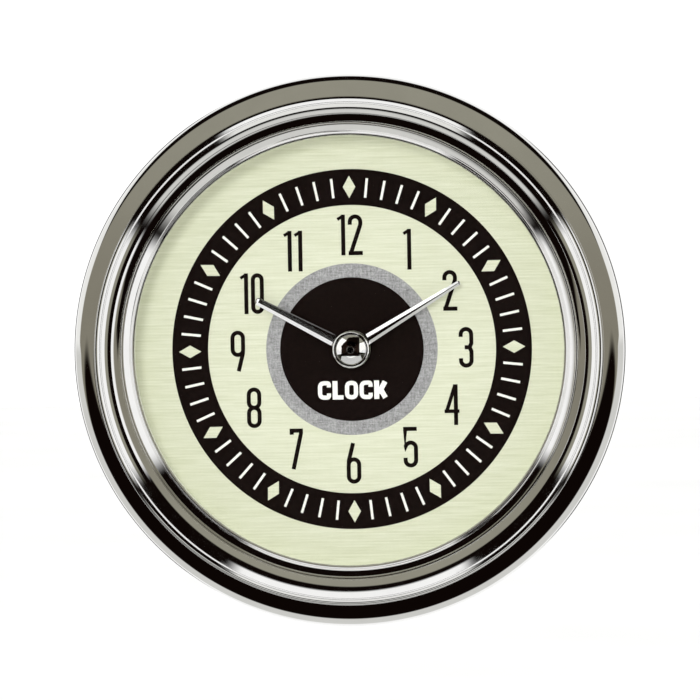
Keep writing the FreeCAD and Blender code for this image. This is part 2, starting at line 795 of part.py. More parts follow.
def pillar(place):
    body = rod(PILLAR_R, FRONT_PLATE[1], REAR_PLATE[0], place)
    tenon = rod(TENON_R, *FRONT_PLATE, place)
    bore = rod(PILLAR_BORE_R, PILLAR_BORE_FRONT, REAR_PLATE[0] + PAST, place)
    return joined(body, tenon).cut(bore)


def bushes(plate, centre_bore, centre_rear):
    """One bush for each pivot in a plate, a little proud of it on both sides."""
    front, rear = plate[0] - BUSH_PROUD, plate[1] + BUSH_PROUD
    made = [tube((PIVOT_R + PIVOT_PLAY, BUSH_R), front, rear, place) for place in TRAIN_PLACES]
    made.append(tube((centre_bore, CENTRE_BUSH_R), front, centre_rear))
    return made


def save_frame():
    save("front_plate", front_plate())
    save("rear_plate", rear_plate())
    save("plate_pillars", *[pillar(place) for place in PILLAR_PLACES])
    spacer_r = (PILLAR_BORE_R, PILLAR_R)
    save("board_spacers", *[tube(spacer_r, REAR_PLATE[1], BOARD[0], p) for p in PILLAR_PLACES])
    save("pillar_screws", *[pan_screw(p, PILLAR_SCREW, BOARD[1]) for p in PILLAR_PLACES])
    front_rear = FRONT_PLATE[1] + 2 * BUSH_PROUD
    save("front_bushes", *bushes(FRONT_PLATE, CENTRE_ARBOR_R + PIVOT_PLAY, front_rear))
    save("rear_bushes", *bushes(REAR_PLATE, PIVOT_R + PIVOT_PLAY, REAR_PLATE[1] + BUSH_PROUD))


# ---------------------------------------------------------------- going train


def crossed_wheel(wheel, place):
    """A train wheel's rim, spokes and teeth, with one tooth at 3 o'clock."""
    rim_r = (wheel.teeth / 2 - DEDENDUM) * wheel.module - TRAIN_RIM
    teeth = gear(wheel.teeth, wheel.module, wheel.wheel_depths, place, 0.0)
    radii = (wheel.hub_r, rim_r)
    return crossings(teeth, wheel.wheel_depths, place, radii, wheel.spokes, TRAIN_SPOKE)


def pinion_on(driver, depths, bearing, place):
    """A pinion whose teeth are set in the gaps of the wheel that meshes with it."""
    tooth = meshing_bearing(TRAIN_PINION_TEETH, driver.teeth, 0.0, bearing)
    return gear(TRAIN_PINION_TEETH, driver.module, depths, place, tooth)


def centre_wheel():
    front = rod(CENTRE_ARBOR_R, CENTRE_ARBOR_FRONT, SHOULDERS[1])
    pivot = rod(PIVOT_R, SHOULDERS[1], PIVOTS[1])
    boss = rod(CENTRE_BOSS_R, *CENTRE_BOSS)
    return joined(crossed_wheel(CENTRE, AXIS), joined(front, pivot), boss)


def save_train():
    """Each wheel is moulded in one piece with its pinion and pivots."""
    save("centre_wheel", centre_wheel())
    drivers = (CENTRE, THIRD, SECOND)
    for driver, driven, place in zip(drivers, (THIRD, SECOND, FIRST), TRAIN_PLACES):
        boss_rear = driven.wheel_depths[1] + WHEEL_BOSS_PROUD
        whole = joined(
            crossed_wheel(driven, place),
            pinion_on(driver, driven.pinion_depths, driven.bearing, place),
            rod(WHEEL_BOSS_R, driven.pinion_depths[1], boss_rear, place),
            arbor(place),
        )
        save(driven.name, whole)
    rotor = joined(
        pinion_on(FIRST, ROTOR_PINION, ROTOR_BEARING, ROTOR_PLACE),
        rod(MAGNET_COLLAR_R, MAGNET[1], ROTOR_PINION[0], ROTOR_PLACE),
        arbor(ROTOR_PLACE),
    )
    save("rotor_pinion", rotor)
    save("rotor_magnet", tube((ARBOR_R, MAGNET_R), *MAGNET, ROTOR_PLACE))


# ---------------------------------------------------------------- stepping motor


def across(radius, x_range):
    """Cylinder along X about the coil's axis."""
    start = vector(x_range[0], (CORE[0] + CORE[1]) / 2, COIL_Z)
    return Part.makeCylinder(radius, x_range[1] - x_range[0], start, RIGHTWARD)


def stator():
    half = ARM_HALF_WIDTH
    left, right = PAD_PLACES[0][0], PAD_PLACES[1][0]
    arms = block((left - half, right + half), STATOR, (ARM_Z - half, ARM_Z + half))
    legs = [block((x - half, x + half), STATOR, (ARM_Z, z)) for x, z in PAD_PLACES]
    pads = [rod(half, *STATOR, place) for place in PAD_PLACES]
    bore_r, plate_r = STATOR_R
    plate = joined(rod(plate_r, *STATOR, ROTOR_PLACE), arms, *legs, *pads)
    through = past(*STATOR)
    holes = [rod(bore_r, *through, ROTOR_PLACE)]
    holes += [rod(STATOR_PIN_R + SNUG, *through, place) for place in STATOR_PIN_PLACES]
    holes += [rod(CORE_SCREW.shank_r + SNUG, *through, place) for place in PAD_PLACES]
    return without(plate, holes)


def coil_core():
    half = ARM_HALF_WIDTH
    left, right = PAD_PLACES[0][0], PAD_PLACES[1][0]
    bar = block((left, right), CORE, (COIL_Z - half, COIL_Z + half))
    core = joined(bar, *[rod(half, *CORE, place) for place in PAD_PLACES])
    screw_r = CORE_SCREW.shank_r + SNUG
    return without(core, [rod(screw_r, *past(*CORE), place) for place in PAD_PLACES])


def coil_bobbin(low, high):
    half = ARM_HALF_WIDTH + SNUG
    depths = (CORE[0] - SNUG, CORE[1] + SNUG)
    tunnel = block((low - PAST, high + PAST), depths, (COIL_Z - half, COIL_Z + half))
    cheeks = [across(BOBBIN_R, (low, low + CHEEK)), across(BOBBIN_R, (high - CHEEK, high))]
    return joined(across(SPOOL_R, (low, high)), *cheeks).cut(tunnel)


def save_motor():
    save("stator", stator())
    save("coil_core", coil_core())
    save("core_screws", *[pan_screw(place, CORE_SCREW, CORE[1]) for place in PAD_PLACES])
    low = ROTOR_PLACE[0] - BOBBIN_REACH
    high = ROTOR_PLACE[0] + BOBBIN_REACH
    save("coil_bobbin", coil_bobbin(low, high))
    wound = (low + CHEEK + SNUG, high - CHEEK - SNUG)
    bore_r, winding_r = WINDING_R
    save("coil_winding", across(winding_r, wound).cut(across(bore_r, wound)))


# ---------------------------------------------------------------- circuit board and leads


def lead(points, radius):
    """Round wire along straight runs joined by arcs, each as large as its two runs allow."""
    edges = []
    here = points[0]
    for before, corner, after in zip(points, points[1:], points[2:]):
        inward = (corner - before).normalize()
        outward = (after - corner).normalize()
        half_turn = inward.getAngle(outward) / 2
        reach = LEAD_BEND_SHARE * min((corner - before).Length, (after - corner).Length)
        bend_r = reach / math.tan(half_turn)
        start = corner - inward * reach
        end = corner + outward * reach
        to_centre = (outward - inward).normalize()
        middle = corner + to_centre * (bend_r / math.cos(half_turn) - bend_r)
        edges.append(Part.makeLine(here, start))
        edges.append(Part.Arc(start, middle, end).toShape())
        here = end
    edges.append(Part.makeLine(here, points[-1]))
    ring = Part.makeCircle(radius, points[0], points[1] - points[0])
    return Part.Wire(edges).makePipeShell([Part.Wire([ring])], True, False)


def internal_lead(terminal, tail_front, side):
    """From a terminal's rivet to the circuit board."""
    pad_x, pad_z = side * LEAD_PAD[0], LEAD_PAD[1]
    points = [
        vector(terminal[0], tail_front, terminal[1]),
        vector(terminal[0], tail_front - LEAD_STRAIGHT, terminal[1]),
        vector(pad_x, BOARD[1] + LEAD_STRAIGHT, pad_z),
        vector(pad_x, BOARD[1], pad_z),
    ]
    return lead(points, LEAD_R)


def save_electronics():
    through = past(*BOARD)
    holes = [rod(PILLAR_BORE_R, *through, place) for place in PILLAR_PLACES]
    holes.append(rod(BOARD_NOTCH_R, *through, SET_PLACE))
    save("circuit_board", without(rod(BOARD_R, *BOARD), holes))
    back = BOARD[1]
    can_start = vector(CRYSTAL_PLACE[0], back + CRYSTAL_R, CRYSTAL_PLACE[1])
    save("quartz_crystal", Part.makeCylinder(CRYSTAL_R, CRYSTAL_LENGTH, can_start, RIGHTWARD))
    chip_x = (-CHIP_HALF_X, CHIP_HALF_X)
    chip_z = (-CHIP_HALF_Z, CHIP_HALF_Z)
    save("driver_chip", block(chip_x, (back, back + CHIP_HEIGHT), chip_z))
    capacitor = rod(CAPACITOR_R, back, back + CAPACITOR_HEIGHT, CAPACITOR_PLACE)
    rims = [capacitor.Edges[0], capacitor.Edges[2]]
    save("supply_capacitor", capacitor.makeFillet(CAPACITOR_EDGE_R, rims))
    save("power_lead", internal_lead(POWER_PLACE, POWER_TAIL[0], 1))
    save("ground_lead", internal_lead(GROUND_PLACE, GROUND_TAIL[0], -1))


# ---------------------------------------------------------------- terminals


def blade_terminal(place, seat):
    """Angle blade for a push-on connector, with its foot on the depth called seat."""
    bend = BLADE_BEND_R
    inner = bend - BLADE_THICK
    low = place[1] - BLADE_BELOW
    high = place[1] + BLADE_ABOVE
    tip = seat + BLADE_REACH
    cut = 1 - SLANT
    profile = [
        (seat, high),
        (seat, low + bend),
        (seat + bend * cut, low + bend * cut, seat + bend, low),
        (tip - BLADE_NOSE, low),
        (tip, low + BLADE_THICK / 2),
        (tip - BLADE_NOSE, low + BLADE_THICK),
        (seat + bend, low + BLADE_THICK),
        (
            seat + BLADE_THICK + inner * cut,
            low + BLADE_THICK + inner * cut,
            seat + BLADE_THICK,
            low + bend,
        ),
        (seat + BLADE_THICK, high),
    ]
    start_x = place[0] - BLADE_HALF_WIDTH
    face = Part.Face(closed_wire(profile, lambda depth, z: vector(start_x, depth, z)))
    angle = face.extrude(vector(2 * BLADE_HALF_WIDTH, 0, 0))
    rivet_hole = rod(RIVET_R + SNUG, *past(seat, seat + BLADE_THICK), place)
    start = vector(place[0], seat + BLADE_DIMPLE_DEPTH, low - PAST)
    dimple = Part.makeCylinder(BLADE_DIMPLE_R, BLADE_THICK + 2 * PAST, start, UPWARD)
    return without(angle, [rivet_hole, dimple])


def rivet(place, head_front, tail):
    head = rod(RIVET_HEAD_R, head_front, head_front + RIVET_HEAD, place)
    shank = rod(RIVET_R, tail[1], head_front, place)
    return joined(head, shank, rod(RIVET_HEAD_R, *tail, place))


def save_terminals():
    power_seat = CASE_REAR + INSULATOR_THICK
    save("power_terminal", blade_terminal(POWER_PLACE, power_seat))
    save("ground_terminal", blade_terminal(GROUND_PLACE, CASE_REAR))
    bore = RIVET_R + SNUG
    shoulder = tube((bore, INSULATOR_SHOULDER_R), CASE_FLOOR, CASE_REAR, POWER_PLACE)
    outer = tube((bore, INSULATOR_R), CASE_REAR, power_seat, POWER_PLACE)
    inner = tube((bore, INSULATOR_R), CASE_FLOOR - INSULATOR_THICK, CASE_FLOOR, POWER_PLACE)
    save("terminal_insulators", joined(outer, shoulder), inner)
    power_rivet = rivet(POWER_PLACE, power_seat + BLADE_THICK, POWER_TAIL)
    ground_rivet = rivet(GROUND_PLACE, CASE_REAR + BLADE_THICK, GROUND_TAIL)
    save("terminal_rivets", power_rivet, ground_rivet)


# ---------------------------------------------------------------- lamp


def lamp_socket():
    """Bayonet lamp holder: it leaves the case after a turn to its ears' slots."""
    wing_x = (-LAMP_WING_REACH, LAMP_WING_REACH)
    wing_z = (-LAMP_WING_HALF_WIDTH, LAMP_WING_HALF_WIDTH)
    body = joined(
        rod(LAMP_BARREL_R, LAMP_BARREL_FRONT, LAMP_FLANGE[0], LAMP_PLACE),
        rod(LAMP_FLANGE_R, *LAMP_FLANGE, LAMP_PLACE),
        rod(LAMP_GRIP_R, LAMP_FLANGE[1], LAMP_GRIP_REAR, LAMP_PLACE),
        moved(block(wing_x, (LAMP_FLANGE[1], LAMP_WING_REAR), wing_z), LAMP_PLACE),
        lamp_ears(EAR_R, EAR_HALF_WIDTH, EAR),
    )
    bulb_bore = rod(BULB_R + BULB_PLAY, LAMP_BARREL_FRONT - PAST, BULB_SOCKET_REAR, LAMP_PLACE)
    return without(body, [bulb_bore, lamp_blade()])


def lamp_blade():
    half = BLADE_THICK / 2
    tongue = block((-BLADE_HALF_WIDTH, BLADE_HALF_WIDTH), LAMP_BLADE, (-half, half))
    start = vector(0, LAMP_BLADE_HOLE, -half - PAST)
    hole = Part.makeCylinder(BLADE_DIMPLE_R, BLADE_THICK + 2 * PAST, start, UPWARD)
    return moved(tongue.cut(hole), LAMP_PLACE)


def lamp_bulb():
    front, rear = BULB
    centre = front + BULB_R
    dome = BULB_R * SLANT
    outline = [(0, front), (dome, centre - dome, BULB_R, centre), (BULB_R, rear), (0, rear)]
    return moved(turned(outline), LAMP_PLACE)


def save_lamp():
    save("lamp_socket", lamp_socket())
    save("lamp_blade", lamp_blade())
    save("lamp_bulb", lamp_bulb())


# ---------------------------------------------------------------- studs and clamp


def lock_nut(place):
    corner = NUT_FLATS / math.sqrt(3)
    steps = [step_from(place, corner, 60 * count) for count in range(6)]
    bore = rod(STUD_R + NUT_PLAY, *past(CASE_REAR, NUT_REAR), place)
    return slab(steps, CASE_REAR, NUT_REAR).cut(bore)


def clamp_bracket():
    """U-shaped strap whose two feet press on the back of the panel."""
    outer = LEG_OUTER_X
    thick = STRAP[1] - STRAP[0]
    inner = outer - thick
    bend = STRAP_BEND_R
    inner_bend = bend - thick
    outer_cut = bend * (1 - SLANT)
    inner_cut = inner_bend * (1 - SLANT)
    half_outline = [
        (outer, LEG_FRONT),
        (outer, STRAP[1] - bend),
        (outer - outer_cut, STRAP[1] - outer_cut, outer - bend, STRAP[1]),
    ]
    half_inline = [
        (inner - inner_bend, STRAP[0]),
        (inner - inner_cut, STRAP[0] - inner_cut, inner, STRAP[0] - inner_bend),
        (inner, LEG_FRONT),
    ]
    profile = half_outline + mirrored(half_outline) + mirrored(half_inline) + half_inline
    start = -STRAP_HALF_WIDTH
    face = Part.Face(closed_wire(profile, lambda x, depth: vector(x, depth, start)))
    strap = face.extrude(vector(0, 0, 2 * STRAP_HALF_WIDTH))
    return without(strap, [rod(STUD_R + STRAP_PLAY, *past(*STRAP), p) for p in STUD_PLACES])


def mirrored(steps):
    """The same steps on the other side of the axis, run through backwards."""
    ends = [step[-2:] for step in steps]
    middles = [step[:2] if len(step) == 4 else None for step in steps]
    made = [(-ends[-1][0], ends[-1][1])]
    for index in reversed(range(1, len(steps))):
        there = (-ends[index - 1][0], ends[index - 1][1])
        middle = middles[index]
        made.append((-middle[0], middle[1], *there) if middle else there)
    return made


def lock_washer(place):
    ring = tube(WASHER_R, STRAP[1], STRAP[1] + WASHER_THICK)
    half = WASHER_SPLIT / 2
    split = block((0, WASHER_R[1] + PAST), past(STRAP[1], STRAP[1] + WASHER_THICK), (-half, half))
    return moved(ring.cut(rotated(split, WASHER_SPLIT_TURN)), place)


def thumb_nut(place):
    face = STRAP[1] + WASHER_THICK
    rim = knurled(THUMB_R, THUMB_RIDGES, face + THUMB_RIM[0], face + THUMB_RIM[1])
    body = joined(rim, rod(THUMB_BOSS_R, face, face + THUMB_HEIGHT))
    return moved(body.cut(rod(STUD_R + NUT_PLAY, *past(face, face + THUMB_HEIGHT))), place)


def stud(place):
    shank = rod(STUD_R, CASE_FLOOR, STUD_REAR - STUD_POINT, place)
    start = vector(place[0], STUD_REAR - STUD_POINT, place[1])
    point = Part.makeCone(STUD_R, STUD_R - STUD_POINT, STUD_POINT, start, REARWARD)
    return joined(rod(STUD_HEAD_R, CASE_FLOOR - STUD_HEAD, CASE_FLOOR, place), shank, point)


def save_clamp():
    save("mounting_studs", *[stud(place) for place in STUD_PLACES])
    save("stud_lock_nuts", *[lock_nut(place) for place in STUD_PLACES])
    save("clamp_bracket", clamp_bracket())
    save("lock_washers", *[lock_washer(place) for place in STUD_PLACES])
    save("thumb_nuts", *[thumb_nut(place) for place in STUD_PLACES])


os.makedirs("parts", exist_ok=True)
save_front()
save_case()
save_dial()
save_hands()
save_motion_work()
save_frame()
save_train()
save_motor()
save_electronics()
save_terminals()
save_lamp()
save_clamp()
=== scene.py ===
"""Looks of the round panel clock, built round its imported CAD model.

Lengths are written in millimetres and turned into metres by MM. X is to the right and
Z is up as the dial is read, and +Y is the depth behind the panel.
"""

import json
import math

import bmesh
import bpy
from mathutils import Matrix, Vector

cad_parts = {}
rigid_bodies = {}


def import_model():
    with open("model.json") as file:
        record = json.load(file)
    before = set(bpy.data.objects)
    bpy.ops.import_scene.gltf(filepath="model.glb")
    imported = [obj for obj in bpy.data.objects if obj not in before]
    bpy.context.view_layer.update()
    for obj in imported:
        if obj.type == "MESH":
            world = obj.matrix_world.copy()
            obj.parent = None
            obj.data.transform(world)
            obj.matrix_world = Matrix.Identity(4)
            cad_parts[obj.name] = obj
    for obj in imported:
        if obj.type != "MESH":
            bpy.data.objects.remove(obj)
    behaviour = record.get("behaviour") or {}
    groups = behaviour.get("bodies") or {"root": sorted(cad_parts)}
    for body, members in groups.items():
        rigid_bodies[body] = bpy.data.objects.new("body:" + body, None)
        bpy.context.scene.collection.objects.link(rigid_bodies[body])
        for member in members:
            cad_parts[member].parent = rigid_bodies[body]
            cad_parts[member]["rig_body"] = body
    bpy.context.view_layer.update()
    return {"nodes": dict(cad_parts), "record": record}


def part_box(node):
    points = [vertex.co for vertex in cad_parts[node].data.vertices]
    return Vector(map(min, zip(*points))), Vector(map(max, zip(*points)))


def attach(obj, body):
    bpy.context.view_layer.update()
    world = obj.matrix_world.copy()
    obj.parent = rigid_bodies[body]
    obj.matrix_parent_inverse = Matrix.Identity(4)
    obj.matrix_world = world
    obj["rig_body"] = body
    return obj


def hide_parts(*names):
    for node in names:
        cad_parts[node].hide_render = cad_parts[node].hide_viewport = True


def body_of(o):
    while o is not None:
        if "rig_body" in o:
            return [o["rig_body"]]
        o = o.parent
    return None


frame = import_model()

MM = 0.001

# ---------------------------------------------------------------- sizes (mm)

BEZEL_R = 30.15
SHEET = 0.6
SHOULDER_CENTRE_R = 26.53
SHOULDER_DEPTH = -3.0
LAND_R = 27.07
LAND_FRONT = -6.75
LAND_CROWN_R = 1.69
LAND_TILT = 19.0
LAND_INNER_R = 3.0
LAND_EASE = 12.5
LAND_SLOPE_R = 9.2
SLOPE_TILT = 16.5
WINDOW_R = 23.45
DIAL_R = 24.6
DIAL_FRONT = 1.9
DIAL_REAR = 2.5
DIAL_HOLE_R = 2.0
INK = 0.02

CHAPTER_IN = 15.87
CHAPTER_OUT = 19.82
GREY_OUT = 9.45
DISC_OUT = 7.91
TICK_IN = 16.74
TICK_OUT = 18.87
TICK_WIDTH = 0.27
DIAMOND_IN = 16.63
DIAMOND_OUT = 19.09
DIAMOND_WIDTH = 1.38
NUMERAL_R = 12.58
NUMERAL_HEIGHT = 4.48
STROKE = 0.45

HOUR_ANGLE = 298.0
MINUTE_ANGLE = 59.2
HUB_R = 2.04
CAP_R = 1.69
DIMPLE_RING_R = 0.33

# ---------------------------------------------------------------- mesh helpers


def new_object(name, verts, faces, material, body, smooth_angle=32.0):
    """A welded, smoothly shaded piece on a body, from vertices in millimetres."""
    mesh = bpy.data.meshes.new(name)
    mesh.from_pydata([tuple(c * MM for c in v) for v in verts], [], faces)
    work = bmesh.new()
    work.from_mesh(mesh)
    bmesh.ops.remove_doubles(work, verts=work.verts, dist=1e-7)
    bmesh.ops.recalc_face_normals(work, faces=work.faces)
    work.to_mesh(mesh)
    work.free()
    mesh.shade_smooth()
    mesh.set_sharp_from_angle(angle=math.radians(smooth_angle))
    mesh.materials.append(material)
    made = bpy.data.objects.new(name, mesh)
    bpy.context.collection.objects.link(made)
    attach(made, body)
    return made


def arc(centre, radius, start, stop, count):
    """Points on an arc, by angle in degrees from the first axis."""
    turns = [start + (stop - start) * i / count for i in range(count + 1)]
    return [
        (
            centre[0] + radius * math.cos(math.radians(t)),
            centre[1] + radius * math.sin(math.radians(t)),
        )
        for t in turns
    ]


def rounded(corners, closed=True, parts=5):
    """Round each corner (a, b, radius) of an outline. A corner with no radius stays sharp."""
    points = []
    total = len(corners)
    for i, corner in enumerate(corners):
        here = Vector(corner[:2])
        radius = corner[2] if len(corner) == 3 else 0
        ends = not closed and i in (0, total - 1)
        if not radius or ends:
            points.append(tuple(here))
            continue
        before = Vector(corners[i - 1][:2]) - here
        after = Vector(corners[(i + 1) % total][:2]) - here
        half = before.angle(after) / 2
        reach = min(radius / math.tan(half), 0.48 * before.length, 0.48 * after.length)
        start = here + before.normalized() * reach
        stop = here + after.normalized() * reach
        for k in range(parts + 1):
            t = k / parts
            low = start.lerp(here, t)
            points.append(tuple(low.lerp(here.lerp(stop, t), t)))
    return points


def lathe(name, outline, material, body, count=192, smooth_angle=32.0):
    """Revolve a closed outline of (radius, depth) about the clock's axis."""
    verts, faces, rings = [], [], []
    for radius, depth in outline:
        if radius < 1e-6:
            rings.append([len(verts)] * count)
            verts.append((0, depth, 0))
            continue
        rings.append(list(range(len(verts), len(verts) + count)))
        for k in range(count):
            turn = 2 * math.pi * k / count
            verts.append((radius * math.cos(turn), depth, radius * math.sin(turn)))
    for i, ring in enumerate(rings):
        other = rings[(i + 1) % len(rings)]
        for k in range(count):
            n = (k + 1) % count
            face = [ring[k], ring[n], other[n], other[k]]
            face = [v for j, v in enumerate(face) if v != face[j - 1]]
            if len(set(face)) >= 3:
                faces.append(face)
    return new_object(name, verts, faces, material, body, smooth_angle)


def plates(outlines, front, rear):
    """Vertices and faces of flat closed pieces, one for each outline of (x, z) points."""
    verts, faces = [], []
    for outline in outlines:
        base = len(verts)
        size = len(outline)
        verts += [(x, front, z) for x, z in outline]
        verts += [(x, rear, z) for x, z in outline]
        faces.append([base + k for k in range(size)])
        faces.append([base + size + k for k in reversed(range(size))])
        for k in range(size):
            n = (k + 1) % size
            faces.append([base + k, base + n, base + size + n, base + size + k])
    return verts, faces


def ribbon(points, width, closed, depth, thick):
    """A stroke of even width along points, with flat ends, as one closed piece."""
    half = width / 2
    total = len(points)
    sides = []
    for i in range(total):
        here = Vector(points[i])
        into = here - Vector(points[i - 1]) if closed or i else None
        out = Vector(points[(i + 1) % total]) - here if closed or i < total - 1 else None
        into = into or out
        out = out or into
        a, b = into.normalized(), out.normalized()
        middle = a + b
        if middle.length < 1e-6:
            middle = a
        middle.normalize()
        side = Vector((-middle.y, middle.x))
        reach = half / max(0.5, side.dot(Vector((-a.y, a.x))))
        sides.append((here + side * reach, here - side * reach))
    verts, faces = [], []
    for left, right in sides:
        verts += [
            (left.x, depth, left.y),
            (right.x, depth, right.y),
            (left.x, depth + thick, left.y),
            (right.x, depth + thick, right.y),
        ]
    spans = range(total) if closed else range(total - 1)
    for i in spans:
        p, q = 4 * i, 4 * ((i + 1) % total)
        faces += [
            [p, p + 1, q + 1, q],
            [p + 2, q + 2, q + 3, p + 3],
            [p, q, q + 2, p + 2],
            [p + 1, p + 3, q + 3, q + 1],
        ]
    if not closed:
        last = 4 * (total - 1)
        faces += [[0, 2, 3, 1], [last, last + 1, last + 3, last + 2]]
    return verts, faces


def merged(parts):
    verts, faces = [], []
    for part_verts, part_faces in parts:
        base = len(verts)
        verts += part_verts
        faces += [[base + v for v in face] for face in part_faces]
    return verts, faces


def turn_about(x, z, degrees):
    """Clockwise from the front, by an angle from 12 o'clock."""
    t = math.radians(degrees)
    return (x * math.cos(t) + z * math.sin(t), -x * math.sin(t) + z * math.cos(t))


# ---------------------------------------------------------------- material helpers


METAL_GRAIN = 0.002
PLASTIC_GRAIN = 0.004


class Nodes:
    """Short ways to add shader nodes to one material."""

    def __init__(self, name, **sockets):
        self.material = bpy.data.materials.new(name)
        self.material.use_nodes = True
        self.tree = self.material.node_tree
        self.shader = self.tree.nodes["Principled BSDF"]
        for key, value in sockets.items():
            self.shader.inputs[key.replace("_", " ")].default_value = value
        self.place = self.add("ShaderNodeTexCoord").outputs["Object"]

    def add(self, kind, **settings):
        node = self.tree.nodes.new(kind)
        for key, value in settings.items():
            setattr(node, key, value)
        return node

    def link(self, source, target):
        if isinstance(source, (int, float, tuple, list)):
            target.default_value = source
        else:
            self.tree.links.new(source, target)

    def stretched(self, scale):
        node = self.add("ShaderNodeMapping")
        self.link(self.place, node.inputs["Vector"])
        node.inputs["Scale"].default_value = scale
        return node.outputs["Vector"]

    def noise(self, scale, stretch=None, detail=3.0, roughness=0.55):
        node = self.add("ShaderNodeTexNoise")
        node.inputs["Scale"].default_value = scale
        node.inputs["Detail"].default_value = detail
        node.inputs["Roughness"].default_value = roughness
        self.link(self.stretched(stretch) if stretch else self.place, node.inputs["Vector"])
        return node.outputs["Fac"]

    def math(self, operation, *values):
        node = self.add("ShaderNodeMath", operation=operation)
        for value, socket in zip(values, node.inputs):
            self.link(value, socket)
        return node.outputs[0]

    def ramp(self, source, *stops):
        """stops are (position, value), with a value of one number or a colour."""
        node = self.add("ShaderNodeValToRGB")
        elements = node.color_ramp.elements
        while len(elements) < len(stops):
            elements.new(0.5)
        for element, (position, value) in zip(elements, stops):
            element.position = position
            element.color = (*value, 1) if isinstance(value, tuple) else (value,) * 3 + (1,)
        self.link(source, node.inputs["Fac"])
        return node.outputs["Color"]

    def mix(self, factor, low, high, blend="MIX"):
        node = self.add("ShaderNodeMix", data_type="RGBA", blend_type=blend)
        self.link(factor, node.inputs["Factor"])
        for value, socket in ((low, node.inputs[6]), (high, node.inputs[7])):
            self.link((*value, 1) if isinstance(value, tuple) else value, socket)
        return node.outputs[2]

    def colour(self, source):
        self.link(source, self.shader.inputs["Base Color"])
        return self

    def rough(self, source):
        self.link(source, self.shader.inputs["Roughness"])
        return self

    def bump(self, height, distance_mm, strength=1.0):
        node = self.add("ShaderNodeBump")
        node.inputs["Distance"].default_value = distance_mm * MM
        node.inputs["Strength"].default_value = strength
        self.link(height, node.inputs["Height"])
        self.link(node.outputs["Normal"], self.shader.inputs["Normal"])
        return self


def metal(name, dark, light, rough_low, rough_high):
    """Metal with cloudy colour, worn roughness and a fine surface grain."""
    n = Nodes(name, Metallic=1.0)
    cloud = n.noise(350, None, 4.0)
    fine = n.noise(2800, None, 2.0)
    n.colour(n.ramp(cloud, (0.3, dark), (0.7, light)))
    n.rough(n.ramp(fine, (0.3, rough_low), (0.7, rough_high)))
    return n.bump(fine, METAL_GRAIN).material


def plastic(name, dark, light, rough_low, rough_high, scale=500):
    """Moulded or painted surface with mottled colour and an even fine texture."""
    n = Nodes(name)
    cloud = n.noise(scale, None, 4.0)
    fine = n.noise(scale * 9, None, 2.0)
    n.colour(n.ramp(cloud, (0.3, dark), (0.7, light)))
    n.rough(n.ramp(cloud, (0.3, rough_low), (0.7, rough_high)))
    return n.bump(fine, PLASTIC_GRAIN).material


# ---------------------------------------------------------------- materials

CREAM_DARK = (0.635, 0.66, 0.475)
CREAM_LIGHT = (0.76, 0.78, 0.615)
BLACK = (0.0055, 0.0026, 0.0019)
BLACK_WORN = (0.0085, 0.0042, 0.0032)


def cream(name, flat=False):
    """Dial paint with the fine horizontal lines that the plate was brushed with."""
    n = Nodes(name, Specular_IOR_Level=0.25)
    axes = n.add("ShaderNodeSeparateXYZ")
    n.link(n.place, axes.inputs[0])
    wave = n.math("SINE", n.math("MULTIPLY", axes.outputs["Z"], 2 * math.pi / (0.33 * MM)))
    wave = n.math("MULTIPLY_ADD", wave, 0.2, 0.5)
    streak = n.noise(1.0, (260, 260, 5200), 2.0)
    weave = n.noise(1.0, (4200, 4200, 420), 2.0)
    lines = n.math("MULTIPLY_ADD", streak, 0.9, n.math("MULTIPLY_ADD", wave, 0.35, -0.15))
    lines = n.math("MULTIPLY_ADD", weave, 0.15, n.math("SUBTRACT", lines, 0.05))
    paint = n.ramp(lines, (0.25, CREAM_DARK), (0.75, CREAM_LIGHT))
    # painted light: the colour is made lighter towards the rim, to cancel the shade that the bezel
    # casts on the dial's edge
    squares = n.math("MULTIPLY", axes.outputs["X"], axes.outputs["X"])
    squares = n.math("MULTIPLY_ADD", axes.outputs["Z"], axes.outputs["Z"], squares)
    rim = n.math("DIVIDE", squares, (DIAL_R * MM) ** 2)
    n.colour(n.mix(1.0, paint, n.ramp(rim, (0.4, 0.925), (0.85, 1.0)), "MULTIPLY"))
    n.rough(n.ramp(streak, (0.3, 0.5), (0.7, 0.62)))
    return n.bump(lines, 0.0 if flat else 0.004, 0.4).material


def ink(name, dark, light, roughness=0.6):
    n = Nodes(name, Specular_IOR_Level=0.08)
    speck = n.noise(2600, None, 3.0)
    n.colour(n.ramp(speck, (0.35, dark), (0.65, light)))
    n.rough(n.ramp(speck, (0.3, roughness), (0.7, roughness + 0.1)))
    return n.bump(speck, 0.002).material


def brushed_grey():
    """Silver print with short strokes across and down."""
    n = Nodes("silver_print", Specular_IOR_Level=0.3)
    across = n.noise(1.0, (900, 900, 6500), 3.0, 0.7)
    down = n.noise(1.0, (6500, 6500, 900), 3.0, 0.7)
    fleck = n.noise(5200, None, 2.0)
    both = n.math("MULTIPLY_ADD", across, 0.5, n.math("MULTIPLY", down, 0.5))
    both = n.math("MULTIPLY_ADD", fleck, 0.35, n.math("MULTIPLY", both, 0.75))
    n.colour(n.ramp(both, (0.38, (0.14, 0.14, 0.14)), (0.68, (0.44, 0.44, 0.44))))
    n.rough(n.ramp(both, (0.3, 0.45), (0.7, 0.6)))
    return n.bump(both, 0.006, 0.5).material


def chrome(name, low=0.86, high=0.92, tint=(1.0, 0.995, 0.98), wave=0.0006):
    n = Nodes(name, Metallic=1.0)
    cloud = n.noise(220, None, 4.0)
    fine = n.noise(900, None, 2.0)
    dark = tuple(low * c for c in tint)
    light = tuple(high * c for c in tint)
    n.colour(n.ramp(cloud, (0.3, dark), (0.7, light)))
    n.rough(n.ramp(fine, (0.35, 0.015), (0.65, 0.045)))
    return n.bump(cloud, wave, 0.3).material


